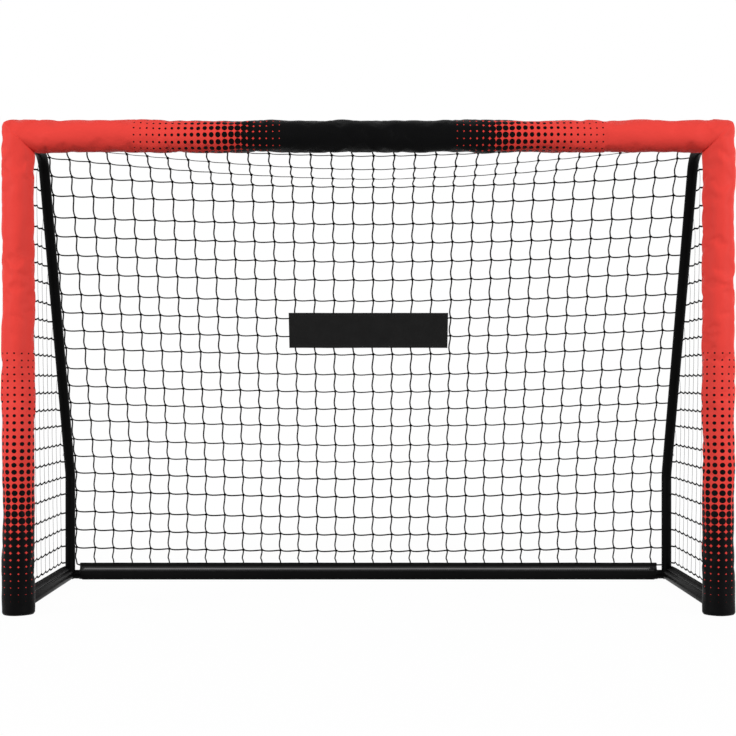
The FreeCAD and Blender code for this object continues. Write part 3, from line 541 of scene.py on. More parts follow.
def deselect() -> None:
    """Leave edit mode and deselect everything."""
    if bpy.context.object and bpy.context.object.mode != "OBJECT":
        bpy.ops.object.mode_set(mode="OBJECT")
    bpy.ops.object.select_all(action="DESELECT")


def take(piece: Object) -> Object:
    """Make one piece the only selected and active one."""
    deselect()
    piece.select_set(True)
    bpy.context.view_layer.objects.active = piece
    return piece


def edit(piece: Object) -> None:
    """Open a piece in edit mode, with all of it selected; taking a piece closes it again."""
    take(piece)
    bpy.ops.object.mode_set(mode="EDIT")
    bpy.ops.mesh.select_all(action="SELECT")


def settle(piece: Object) -> None:
    """Put a piece's place into its mesh."""
    take(piece)
    bpy.ops.object.transform_apply(location=True, rotation=True, scale=True)


def started(name: str) -> Object:
    """The primitive that was just added, named and with its place in its mesh."""
    piece = bpy.context.object
    piece.name = piece.data.name = name
    settle(piece)
    return piece


def modify(piece: Object, kind: str, **settings: object) -> None:
    """Give a piece a modifier."""
    set_all(piece.modifiers.new(kind.lower(), kind), **settings)


def round_edges(piece: Object, width: float, segments: int = 2, degrees: float = 30.0) -> None:
    """Round a piece's edges that are sharper than an angle."""
    limit = math.radians(degrees)
    modify(piece, "BEVEL", width=width, segments=segments, limit_method="ANGLE", angle_limit=limit)


def apply_all(piece: Object) -> None:
    """Apply every modifier of a piece in order."""
    take(piece)
    for modifier in list(piece.modifiers):
        bpy.ops.object.modifier_apply(modifier=modifier.name)


def smooth(piece: Object, degrees: float) -> None:
    """Shade a piece smooth, apart from edges sharper than an angle."""
    take(piece)
    bpy.ops.object.shade_smooth_by_angle(angle=math.radians(degrees))


def pick(piece: Object, kind: str, test: Callable[[object], bool]) -> None:
    """Select parts of the piece in edit mode.

    Args:
        piece: the piece.
        kind: VERT, EDGE or FACE.
        test: says which elements to select.
    """
    bpy.ops.mesh.select_mode(type=kind)
    bpy.ops.mesh.select_all(action="DESELECT")
    mesh = bmesh.from_edit_mesh(piece.data)
    for element in {"VERT": mesh.verts, "EDGE": mesh.edges, "FACE": mesh.faces}[kind]:
        if test(element):
            element.select_set(True)
    mesh.select_flush_mode()
    bmesh.update_edit_mesh(piece.data)


def squeeze(piece: Object, factors: Colour, centre: Colour, test: Callable[[object], bool]) -> None:
    """Resize some corners of the piece in edit mode about a point."""
    pick(piece, "VERT", test)
    bpy.ops.transform.resize(value=factors, center_override=centre)


def cut(at: Sequence[float], way: Sequence[float], clear: bool = False, fill: bool = False) -> None:
    """Cut the piece in edit mode on a plane, and clear the half against its way if asked."""
    bpy.ops.mesh.select_all(action="SELECT")
    bpy.ops.mesh.bisect(plane_co=tuple(at), plane_no=tuple(way), clear_inner=clear, use_fill=fill)


def merge(main: Object, other: Object, name: str) -> None:
    """Join another mesh into a piece."""
    take(main)
    other.select_set(True)
    bpy.ops.object.join()
    main.name = main.data.name = name


def dress(piece: Object, material: Material, nodes: Iterable[str], body: str = ROOT) -> Object:
    """Give a piece its material and body, and hide the nodes it stands for.

    Args:
        piece: the finished piece.
        material: its finish.
        nodes: nodes that it replaces.
        body: body that it moves with.

    Returns:
        The piece.
    """
    piece.data.materials.clear()
    piece.data.materials.append(material)
    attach(piece, body)
    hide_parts(*nodes)
    triangles = sum(len(face.vertices) - 2 for face in piece.data.polygons)
    LOG.info("%s: %d triangles", piece.name, triangles)
    return piece


def drill(piece: Object, at: Vector, radius: float = 0.0037, depth: float = 0.008) -> None:
    """Drill one round hole across the goal through a wall."""
    deselect()
    turn = ACROSS.to_track_quat("Z", "Y").to_euler()
    bpy.ops.mesh.primitive_cylinder_add(vertices=20, radius=radius, depth=depth, location=at, rotation=turn)
    tool = started("drill")
    modify(piece, "BOOLEAN", operation="DIFFERENCE", solver="EXACT", object=tool)
    apply_all(piece)
    bpy.data.objects.remove(tool)


class TubeDrawer:
    """Round tube drawn ring by ring with extrude and spin."""

    def __init__(self, name: str, radius: float, start: Vector, heading: Vector, sides: int = 40) -> None:
        """Draw the first ring.

        Args:
            name: name of the piece.
            radius: outside radius.
            start: middle of the first ring.
            heading: way the tube leaves it.
            sides: corners of the ring.
        """
        deselect()
        turn = heading.to_track_quat("Z", "Y").to_euler()
        bpy.ops.mesh.primitive_circle_add(
            vertices=sides, radius=radius, fill_type="NOTHING", location=start, rotation=turn
        )
        self.piece = started(name)
        self.heading = heading.normalized()
        self.at = start.copy()
        edit(self.piece)

    def run(self, length: float) -> "TubeDrawer":
        """Draw a straight stretch."""
        step = self.heading * length
        bpy.ops.mesh.extrude_region_move(TRANSFORM_OT_translate={"value": tuple(step)})
        self.at += step
        return self

    def run_past_hole(self, length: float, hole: float, room: float = 0.008) -> "TubeDrawer":
        """Draw a straight stretch with rings at some distance on both sides of a hole."""
        return self.run(hole - room).run(2.0 * room).run(length - hole - room)

    def taper(self, length: float, factor: float) -> "TubeDrawer":
        """Draw a stretch that ends wider or narrower."""
        self.run(length)
        bpy.ops.transform.resize(value=(factor, factor, factor), center_override=tuple(self.at))
        return self

    def bend(self, centre: Vector, angle: float, steps: int = 14) -> "TubeDrawer":
        """Draw a bend in the side's plane.

        Args:
            centre: middle of the bend.
            angle: turn in radians, by the right-hand rule about the line across the goal.
            steps: rings of the bend.

        Returns:
            The drawer itself.
        """
        bpy.ops.mesh.spin(steps=steps, angle=-angle, center=tuple(centre), axis=tuple(ACROSS))
        turn = Matrix.Rotation(angle, 3, ACROSS)
        self.at = centre + turn @ (self.at - centre)
        self.heading = turn @ self.heading
        return self

    def finish(self, wall: float = 0.0013, rim: float = 0.0004) -> Object:
        """Give the tube its wall and its rims their small round.

        Args:
            wall: thickness of the wall.
            rim: radius on the rims.

        Returns:
            The piece.
        """
        bpy.ops.mesh.select_all(action="SELECT")
        bpy.ops.mesh.remove_doubles(threshold=0.00001)
        bpy.ops.mesh.normals_make_consistent(inside=False)
        deselect()
        modify(self.piece, "SOLIDIFY", thickness=wall, offset=-1.0, use_even_offset=True)
        round_edges(self.piece, rim, degrees=50.0)
        apply_all(self.piece)
        smooth(self.piece, 35.0)
        return self.piece


class CordMesh:
    """Cords and knots collected into one mesh, with a UV map that runs along each cord."""

    def __init__(self, name: str, sides: int = 6) -> None:
        """Start an empty bundle.

        Args:
            name: name of the piece.
            sides: sides of a cord's section.
        """
        self.name = name
        self.sides = sides
        self.points: list[Vector] = []
        self.faces: list[Face] = []
        self.corners: list[float] = []

    def add(self, route: Sequence[Vector], radius: float, closed: bool = False,
            pressed: Sequence[Vector] | None = None, flatness: float = 1.0) -> None:
        """Lay one cord.

        Args:
            route: points of its middle line.
            radius: its radius.
            closed: whether the route is a loop.
            pressed: way in which the cord is pressed flat, at each point.
            flatness: its thickness that way, as a share of its width.
        """
        count, sides = len(route), self.sides
        first = len(self.points)
        side = Vector((0.0, 0.0, 1.0))
        for index, point in enumerate(route):
            before = route[index - 1] if index or closed else point
            after = route[(index + 1) % count] if index + 1 < count or closed else point
            tangent = (after - before).normalized()
            side = side - tangent * side.dot(tangent)
            if side.length < 0.1:
                side = tangent.orthogonal()
            side.normalize()
            other = tangent.cross(side)
            for corner in range(sides):
                angle = TURN * corner / sides
                offset = (side * math.cos(angle) + other * math.sin(angle)) * radius
                if pressed:
                    way = pressed[index]
                    offset -= way * (offset.dot(way) * (1.0 - flatness))
                self.points.append(point + offset)
        runs = lengths(route)
        for ring in range(count if closed else count - 1):
            following = (ring + 1) % count
            near, far = first + ring * sides, first + following * sides
            start, end = runs[ring], runs[following or -1]
            for corner in range(sides):
                beside = (corner + 1) % sides
                self.faces.append((near + corner, near + beside, far + beside, far + corner))
                low, high = corner / sides, (corner + 1) / sides
                self.corners += (low, start, high, start, high, end, low, end)
        if not closed:
            last = first + (count - 1) * sides
            self.faces.append(tuple(reversed(range(first, first + sides))))
            self.faces.append(tuple(range(last, last + sides)))
            self.corners += [0.0] * (2 * sides) + [0.0, runs[-1]] * sides

    def knot(self, at: Vector, across: Vector, along: Vector, size: float) -> None:
        """Tie one knot: a short loop of cord round the crossing.

        Args:
            at: middle of the knot.
            across: way of the first cord.
            along: way of the second cord.
            size: half its width.
        """
        out = across.cross(along).normalized()
        side, other = across.normalized(), along.normalized()
        turns = 8
        loop = []
        for step in range(turns):
            angle = TURN * step / turns
            wide, tall = 0.62 * size * math.cos(angle), 0.55 * size * math.sin(angle)
            lift = 0.45 * size * math.sin(2.0 * angle)
            loop.append(at + side * wide + other * tall + out * lift)
        self.add(loop, 0.55 * size, closed=True)

    def stitch(self, route: Sequence[Vector], out: Vector, length: float = 0.0032, gap: float = 0.0012,
               radius: float = 0.00035) -> None:
        """Sew one line of stitches.

        Args:
            route: corners of the line.
            out: way out of the cloth.
            length: length of a stitch.
            gap: gap between two stitches.
            radius: half the thickness of the thread.
        """
        for start, end in zip(route, route[1:]):
            along = (end - start).normalized()
            for number in range(int((end - start).length / (length + gap))):
                first = start + along * (number * (length + gap) + gap / 2.0)
                crest = first + along * (length / 2.0) + out * radius
                self.add([first, crest, first + along * length], radius)

    def build(self, material: Material, slot: str, nodes: Iterable[str]) -> Object:
        """Make the piece and dress it."""
        piece = new_mesh(self.name, self.points, self.faces, "cord", self.corners)
        smooth(piece, 60.0)
        return dress(piece, material, nodes)


class ClothMesh:
    """Sheet or pad laid out row by row, with a UV map in metres."""

    def __init__(self, name: str, closed: bool = False) -> None:
        """Start an empty sheet.

        Args:
            name: name of the piece.
            closed: whether each row is a ring, as on a foam pad.
        """
        self.name = name
        self.closed = closed
        self.rows: list[list[Vector]] = []

    @property
    def column(self) -> list[Vector]:
        """Middle point of every row."""
        return [row[len(row) // 2] for row in self.rows]

    @property
    def size(self) -> Pair:
        """Flat width and length, measured along the middle row and the middle column."""
        return lengths(self.rows[len(self.rows) // 2])[-1], lengths(self.column)[-1]

    def build(self, thickness: float = 0.0) -> Object:
        """Make the piece.

        Args:
            thickness: thickness of a sheet, half on each side of its rows; none for a pad.

        Returns:
            The piece, not dressed yet.
        """
        wide = len(self.rows[0])
        faces: list[Face] = []
        corners: list[float] = []
        runs = lengths(self.column)
        spans = lengths(self.rows[0] + self.rows[0][:1])
        for line in range(len(self.rows) - 1):
            near, far = line * wide, (line + 1) * wide
            start, end = runs[line], runs[line + 1]
            for place in range(wide if self.closed else wide - 1):
                beside = (place + 1) % wide
                faces.append((near + place, near + beside, far + beside, far + place))
                low, high = spans[place], spans[place + 1]
                corners += (low, start, high, start, high, end, low, end)
        if self.closed:
            last = (len(self.rows) - 1) * wide
            faces += [tuple(reversed(range(wide))), tuple(range(last, last + wide))]
            corners += [0.0] * (4 * wide)
        points = (point for row in self.rows for point in row)
        piece = new_mesh(self.name, points, faces, "cloth", corners)
        if self.closed:
            edit(piece)
            bpy.ops.mesh.normals_make_consistent(inside=False)
            deselect()
            round_edges(piece, 0.0015, degrees=60.0)
        if thickness:
            modify(piece, "SOLIDIFY", thickness=thickness, offset=0.0)
        apply_all(piece)
        smooth(piece, 50.0)
        return piece


# The goal's main lines


def middle_of(node: str) -> Vector:
    """Middle of a node's box."""
    low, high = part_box(node)
    return (Vector(low) + Vector(high)) / 2.0


@dataclass(frozen=True)
class Layout:
    """Main lines of the goal; a depth counts from the posts' axis, in metres."""

    front: float
    half_span: float
    beam: float
    pad: float
    depth: float
    ground: float
    tube: float
    hem_top: float
    knee: float = 0.304
    rail_reach: float = 0.257
    rail_bend: float = 0.070
    knee_bend: float = 0.060
    rail_start: float = 0.018
    knee_neck: float = 0.025
    plug: float = 0.0126
    foot_reach: float = 0.100
    foot_rise: float = 0.190
    foot_bend: float = 0.045
    rear_neck: float = 0.013
    net_gap: float = 0.0185
    rail_button: float = 0.068
    knee_button: float = 0.050
    foot_button: float = 0.075
    hem_round: float = 0.0155
    zip_up: float = 0.0048

    @classmethod
    def from_frame(cls) -> "Layout":
        """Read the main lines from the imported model."""
        crossbar = middle_of("crossbar_cover")
        post = middle_of("post_cover_right")
        low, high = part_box("post_cover_right")
        bar_low, bar_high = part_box("rear_bar_right")
        bar = middle_of("rear_bar_right")
        return cls(
            front=crossbar.y, half_span=post.x, beam=crossbar.z, pad=(high[0] - low[0]) / 2.0,
            depth=bar.y - crossbar.y, ground=bar.z, tube=(bar_high[2] - bar_low[2]) / 2.0,
            hem_top=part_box("hem_rear")[1][2],
        )

    @property
    def slope(self) -> float:
        """Angle of the sloping tube from the vertical."""
        return math.atan((self.depth - self.rail_reach) / (self.beam - self.knee))

    @property
    def rail_turn(self) -> float:
        """Turn of the bend of the top rail."""
        return math.pi / 2.0 - self.slope

    @property
    def rail_end(self) -> float:
        """Depth at which the top rail starts to bend."""
        return self.rail_reach - self.rail_bend * math.tan(self.rail_turn / 2.0)

    @property
    def knee_tangent(self) -> float:
        """Length from the knee's corner to the end of its bend."""
        return self.knee_bend * math.tan(self.slope / 2.0)

    @property
    def net_line(self) -> float:
        """Distance of the net from the side tubes' axes."""
        return self.net_gap + 0.003

    @property
    def hem_rise(self) -> float:
        """Height of the hems' upper edges over the ground tubes' axes."""
        return self.hem_top - self.ground

    @property
    def rear_reach(self) -> float:
        """Half the length of the rear ground bar and its hem."""
        return self.half_span - self.tube - self.rear_neck

    def touching(self, out: float, turn: float) -> float:
        """Angle at which a line from a hem's upper edge touches the sleeve round its tube."""
        length = math.hypot(out, self.hem_rise)
        return math.atan2(self.hem_rise, out) + turn * math.acos(self.hem_round / length)

    @property
    def hem_lean(self) -> float:
        """Angle of the rear hem's face from the horizontal."""
        return self.touching(self.net_gap, 1.0) - math.pi / 2.0

    def on_hem(self, x: float, up: float, out: float) -> Vector:
        """Point on the rear hem's face, up from the middle of the zip and out of the face."""
        up += self.zip_up
        out += self.hem_round
        side, rise = math.cos(self.hem_lean), math.sin(self.hem_lean)
        depth = self.depth + up * side - out * rise
        return self.at(x, depth, self.ground + up * rise + out * side)

    @property
    def off_hem(self) -> Vector:
        """Way straight out of the rear hem's face."""
        return (self.on_hem(0, 0, 1) - self.on_hem(0, 0, 0)).normalized()

    def at(self, x: float, depth: float, height: float) -> Vector:
        """Point at a depth behind the posts' axis."""
        return Vector((x, self.front + depth, height))

    def up_slope(self, run: float) -> Pair:
        """Depth and height on the slope's axis, a run above the end of the knee's bend."""
        distance = self.knee_tangent + run
        depth = self.depth - distance * math.sin(self.slope)
        return depth, self.knee + distance * math.cos(self.slope)


# Sub-assemblies


@dataclass(frozen=True)
class Run:
    """Way in which a sleeve runs; the sign of a post's seed tells its side."""

    axis: Axis
    middle: Vector
    seed: float

    def out(self, point: Vector) -> Vector:
        """Offset of a point from the sleeve's axis."""
        out = point - self.middle
        out[self.axis.value] = 0.0
        return out


@dataclass
class FrontPadding:
    """Fabric sleeves over foam on the posts and the crossbar, and the strips that close them."""

    layout: Layout
    sides: int = 96
    ring_gap: float = 0.006
    fabric: float = 0.0012
    fill: float = 0.9
    swell: float = 0.0026
    fold: float = 0.0012
    rest: float = 0.0011
    beam_seed: float = 3.7
    post_seed: float = 12.4
    seam_draw: float = 0.0013
    seam_reach: float = 0.0055
    corner_round: float = 0.0066
    hem_tuck: float = 0.0034
    spare: float = 0.022
    reach: float = 0.0014
    frames: int = 20
    foam_radius: float = 0.0338
    foam_bore: float = 0.0161
    closure_width: float = 0.025
    closure_sheet: float = 0.0014
    closure_margin: float = 0.040

    @property
    def closure_angle(self) -> float:
        """Turn of a closure strip's middle from straight behind a tube."""
        return math.asin((self.layout.net_gap + 0.0015) / self.layout.pad)

    @property
    def beam_run(self) -> Run:
        """Run of the crossbar's sleeve."""
        return Run(Axis.X, Vector((0, self.layout.front, self.layout.beam)), self.beam_seed)

    def post_run(self, hand: Hand) -> Run:
        """Run of a post's sleeve, from the ground."""
        foot = self.layout.at(hand.value * self.layout.half_span, 0.0, 0.0)
        return Run(Axis.Z, foot, hand.value * self.post_seed)

    def seam(self, point: Vector) -> float:
        """Distance of a point from the mitre seams."""
        lay = self.layout
        return abs(lay.half_span - abs(point.x) + (point.z - lay.beam)) * math.sqrt(0.5)

    def sleeve(self, name: str, axis: Axis, start: Vector, length: float) -> Object:
        """Plain sleeve before it is mitred, with faces as long as itself.

        Args:
            name: name of the piece.
            axis: way it runs.
            start: middle of its lower or left end.
            length: its length.

        Returns:
            The sleeve, in edit mode.
        """
        deselect()
        step = Vector((length / 2.0, 0, 0)) if axis is Axis.X else Vector((0, 0, length / 2.0))
        turn = (0, math.pi / 2.0, 0) if axis is Axis.X else (0, 0, 0)
        bpy.ops.mesh.primitive_cylinder_add(
            vertices=self.sides, radius=self.layout.pad, depth=length, end_fill_type="NOTHING",
            location=start + step, rotation=turn,
        )
        piece = started(name)
        edit(piece)
        return piece

    def divide(self, piece: Object, axis: Axis, length: float) -> None:
        """Cut the long faces of a mitred sleeve, in edit mode, into even rings."""
        key = axis.value
        coarse = 15
        fine = round(length / self.ring_gap / (coarse + 1)) - 1
        for cuts, reach in ((coarse, length / 4.0), (fine, length / 8.0 / coarse)):
            pick(piece, "EDGE", lambda edge: abs(edge.verts[0].co[key] - edge.verts[1].co[key]) > reach)
            bpy.ops.mesh.subdivide(number_cuts=cuts)

    def wrap(self, piece: Object, run: Run) -> None:
        """Write the UV map that goes round and along a sleeve, in metres."""
        layer = piece.data.uv_layers.new(name="wrap")

        def angle_of(point: Vector) -> float:
            """Angle from the front, upwards on the crossbar and outwards to the right on a post."""
            out = run.out(point)
            return math.atan2(out.z if run.axis is Axis.X else out.x, -out.y)

        points = [vertex.co.copy() for vertex in piece.data.vertices]
        angles = [angle_of(point) for point in points]
        corners: list[float] = []
        for face in piece.data.polygons:
            face_angle = angle_of(face.center)
            for vertex in face.vertices:
                angle = angles[vertex] + TURN * round((face_angle - angles[vertex]) / TURN)
                corners += (angle * self.layout.pad, points[vertex][run.axis.value])
        layer.uv.foreach_set("vector", corners)

    def push(self, run: Run, out: Vector, along: float) -> float:
        """Height of the soft wrinkles of a sleeve.

        Args:
            run: the sleeve's run.
            out: way out from its axis.
            along: place along it.

        Returns:
            How far the fabric stands out there.
        """
        seed = run.seed
        side = out.z if run.axis is Axis.X else out.x
        swell = noise.noise(Vector((along * 7.5 + seed, out.y * 0.8, side * 0.8)))
        fold = noise.noise(Vector((along * 30.0 + seed, out.y * 1.6 + seed, side * 1.6)))
        ripple = noise.noise(Vector((along * 80.0, out.y * 2.4 - seed, side * 2.4)))
        height = self.swell * swell * 1.3 + self.fold * (0.7 * fold + 0.15 * ripple)
        up = side if run.axis is Axis.X else side * math.copysign(1.0, seed)
        closure = out.y * math.cos(self.closure_angle) + up * math.sin(self.closure_angle)
        still = clamp((closure - 0.80) / 0.12)
        return height * (1.0 - 0.8 * still) - self.rest

    def rumple(self, piece: Object, run: Run) -> None:
        """Push soft wrinkles into a sleeve."""
        lay = self.layout
        for vertex in piece.data.vertices:
            point = vertex.co
            out = run.out(point)
            radius = out.length
            out.normalize()
            seam = self.seam(point)
            push = self.push(run, out, point[run.axis.value])
            side = math.copysign(1.0, point.x)
            mitre = lay.at(side * lay.half_span, 0.0, lay.beam)
            draw = (mitre - point).normalized() * self.seam_draw * math.exp(-seam / self.seam_reach)
            corner = math.hypot(lay.half_span + lay.pad - abs(point.x), lay.beam + lay.pad - point.z)
            tuck = Vector((-side, 0.0, -1.0)) * self.corner_round * math.exp(-((corner / 0.014) ** 2))
            still = 1.0 - math.exp(-seam / 0.012)
            hem = self.hem_tuck * math.exp(-((point.z / 0.0028) ** 2))
            if radius > 0.5 * lay.pad:
                vertex.co = point + out * (push * still - hem) + draw + tuck * 0.7

    def billow(self, piece: Object, run: Run) -> None:
        """Let the sleeve's spare length settle into folds, held at its seams and its closure."""
        vertices = piece.data.vertices
        before = [vertex.co.copy() for vertex in vertices]
        held = piece.vertex_groups.new(name="held")
        for vertex in vertices:
            behind = run.out(vertex.co).normalized().y
            grip = max(math.exp(-self.seam(vertex.co) / 0.006), clamp((behind - 0.5) / 0.3))
            held.add([vertex.index], 1.0 if grip > 0.6 else 0.35 * grip, "REPLACE")
        cloth = piece.modifiers.new("folds", "CLOTH")
        set_all(
            cloth.settings, quality=5, mass=0.2, tension_stiffness=12.0, compression_stiffness=12.0,
            shear_stiffness=6.0, bending_stiffness=2.0, vertex_group_mass="held", shrink_min=-self.spare,
            use_pressure=True, uniform_pressure_force=4.0,
        )
        cloth.settings.effector_weights.gravity = 0.0
        cloth.collision_settings.use_collision = False
        set_all(cloth.point_cache, frame_start=1, frame_end=self.frames)
        scene = bpy.context.scene
        for number in range(1, self.frames + 1):
            scene.frame_set(number)
        apply_all(piece)
        scene.frame_set(1)
        for vertex, start in zip(piece.data.vertices, before):
            move = vertex.co - start
            if move.length > self.reach:
                vertex.co = start + move * (self.reach / move.length)
        piece.vertex_groups.clear()

    def finish_sleeve(self, piece: Object, run: Run, fabric: Material, node: str) -> None:
        """Wrap, rumple, billow, thicken and dress a mitred sleeve.

        Args:
            piece: the sleeve, in edit mode.
            run: its run.
            fabric: its finish.
            node: node that it stands for.
        """
        deselect()
        self.wrap(piece, run)
        self.rumple(piece, run)
        self.billow(piece, run)
        modify(piece, "SOLIDIFY", thickness=self.fabric, offset=-1.0)
        apply_all(piece)
        smooth(piece, 60.0)
        dress(piece, fabric, [node])

    def crossbar(self, fabric: Material) -> None:
        """Sleeve of the crossbar, mitred at both ends."""
        lay = self.layout
        start = Vector((-lay.half_span - lay.pad, lay.front, lay.beam))
        piece = self.sleeve("crossbar_sleeve", Axis.X, start, -2.0 * start.x)
        for hand in Hand:
            cut(lay.at(hand.value * lay.half_span, 0.0, lay.beam), (-hand.value, 0, 1), clear=True)
        self.divide(piece, Axis.X, -2.0 * start.x)
        self.finish_sleeve(piece, self.beam_run, fabric, "crossbar_cover")

    def post(self, hand: Hand, fabric: Material) -> None:
        """Sleeve of a post, mitred at the top, tucked in at the ground and open behind its foot."""
        lay = self.layout
        run = self.post_run(hand)
        foot = run.middle
        piece = self.sleeve(f"post_sleeve_{hand.word}", Axis.Z, foot, lay.beam + lay.pad)
        cut(lay.at(hand.value * lay.half_span, 0.0, lay.beam), (hand.value, 0, -1), clear=True)
        self.divide(piece, Axis.Z, lay.beam + lay.pad)
        for height in (0.0014, 0.0030):
            cut((0, 0, height), (0, 0, 1))

        def opening(face: bmesh.types.BMFace) -> bool:
            """Whether a face lies where the foot tube leaves the sleeve."""
            at = face.calc_center_median()
            return at.y > foot.y and abs(at.x - foot.x) < lay.tube + 0.002 and at.z < 2.0 * lay.tube + 0.006

        pick(piece, "FACE", opening)
        bpy.ops.mesh.delete(type="FACE")
        self.finish_sleeve(piece, run, fabric, f"post_cover_{hand.word}")

    def foam(self, name: str, axis: Axis, start: Vector, reach: Callable[[Vector], float],
             foam: Material) -> None:
        """Foam tube with a slit behind, cut to the mitre at its far end.

        Args:
            name: node that it stands for.
            axis: way it runs.
            start: middle of its near end.
            reach: length to the mitre plane, for a point of the section.
            foam: its finish.
        """
        pad = ClothMesh(f"{name}_pad", closed=True)
        for part in spread(0.0, 1.0, 60):
            height = part * self.layout.beam if axis is Axis.Z else 1.0
            slit = 0.0160 if height < 0.066 else 0.0010
            points = []
            for radius, count, way in ((self.foam_radius, 40, 1), (self.foam_bore, 20, -1)):
                half = math.asin(min(0.999, slit / radius))
                for index in range(count + 1):
                    share = index / count if way > 0 else 1.0 - index / count
                    angle = math.pi / 2.0 + half + share * (TURN - 2.0 * half)
                    side, back = radius * math.cos(angle), radius * math.sin(angle)
                    point = start + Vector((0, back, side) if axis is Axis.X else (side, back, 0))
                    wave = 0.0006 * noise.noise(Vector((part * 40.0, side * 30.0, back * 30.0)))
                    point[(axis.value + 2) % 3] += wave
                    point[axis.value] += part * reach(point)
                    points.append(point)
            pad.rows.append(points)
        dress(pad.build(), foam, [name])

    def foams(self) -> None:
        """Foam of the posts and of both halves of the crossbar."""
        lay = self.layout
        foam = FoamCell().material()
        for hand in Hand:
            side = hand.value
            self.foam(
                f"crossbar_foam_{hand.word}", Axis.X, Vector((side * 0.0006, lay.front, lay.beam)),
                lambda point: side * (lay.half_span + (point.z - lay.beam) - 0.0012), foam,
            )
            self.foam(
                f"post_foam_{hand.word}", Axis.Z, lay.at(side * lay.half_span, 0.0, 0.0006),
                lambda point: lay.beam + (point.x * side - lay.half_span) - 0.0018, foam,
            )

    def closure(self, name: str, run: Run, start: Vector, length: float, tape: Material,
                thread: Material) -> None:
        """Hook-and-loop strip that closes a sleeve over the net's edge.

        Args:
            name: node that it stands for.
            run: the sleeve's run.
            start: point on the tube's axis at its near end.
            length: its length.
            tape: finish of the strip.
            thread: finish of its stitches.
        """
        pad = self.layout.pad
        on_beam = run.axis is Axis.X
        side = 1.0 if on_beam else math.copysign(1.0, run.seed)
        half = self.closure_width / 2.0 / pad
        radius = pad + 0.0002 + self.closure_sheet / 2.0

        def spot(turn: float, place: float, lift: float) -> Vector:
            """Point of the strip, by its angle, its place along and its lift."""
            angle = self.closure_angle + turn
            out = Vector((0.0, math.cos(angle), 0.0))
            out[2 if on_beam else 0] = side * math.sin(angle)
            point = start.copy()
            point[run.axis.value] += place
            return point + out * (radius + lift + max(0.0, self.push(run, out, point[run.axis.value])))

        strip = ClothMesh(f"{name}_strip")
        for place in spread(0.0, length, round(length / 0.008)):
            wave = 0.0004 * noise.noise(Vector((place * 30.0, run.seed, 0.0)))
            strip.rows.append([spot(half * turn, place, wave) for turn in spread(-1.0, 1.0, 8)])
        seams = CordMesh(f"{name}_stitches", sides=4)
        for edge in (-0.82, 0.82):
            route = [spot(half * edge, place, self.closure_sheet / 2.0) for place in spread(0.0, length, 60)]
            seams.stitch(route, Vector((0, 1, 0)))
        piece = dress(strip.build(self.closure_sheet), tape, [name])
        sewing = seams.build(thread, "hook_and_loop", [name])
        strip.size

    def closures(self) -> None:
        """Closure strips behind the three sleeves."""
        lay = self.layout
        finishes = HookTape().material(), Nylon("sewing_thread", grey(0.02)).material()
        margin = self.closure_margin
        length = 2.0 * (lay.half_span - margin)
        start = lay.at(-length / 2.0, 0.0, lay.beam)
        self.closure("closure_crossbar", self.beam_run, start, length, *finishes)
        length = lay.beam - lay.pad - 2.0 * margin
        for hand in Hand:
            start = lay.at(hand.value * lay.half_span, 0.0, margin)
            self.closure(f"closure_post_{hand.word}", self.post_run(hand), start, length, *finishes)

    def build(self) -> None:
        """Make the foam, the sleeves with their prints and the closure strips."""
        turn = TURN * self.layout.pad
        beam_print = Halftone(
            pitch_round=turn / 14.0, pitch_along=0.0158, row=0.3187, line=-0.0029,
            start=0.575, touch=0.311, closed=0.206, swell=1.4, shut=0.5, shut_size=0.15,
        )
        post_print = Halftone(
            pitch_round=turn / 13.0, pitch_along=0.01703, row=0.6399,
            start=0.645, touch=0.222, closed=0.025, swell=1.3, shut=0.88, shut_size=0.19,
        )
        self.foams()
        self.crossbar(SleeveFabric("crossbar_fabric", beam_print).material())
        fabric = SleeveFabric("post_fabric", post_print).material()
        for hand in Hand:
            self.post(hand, fabric)
        self.closures()


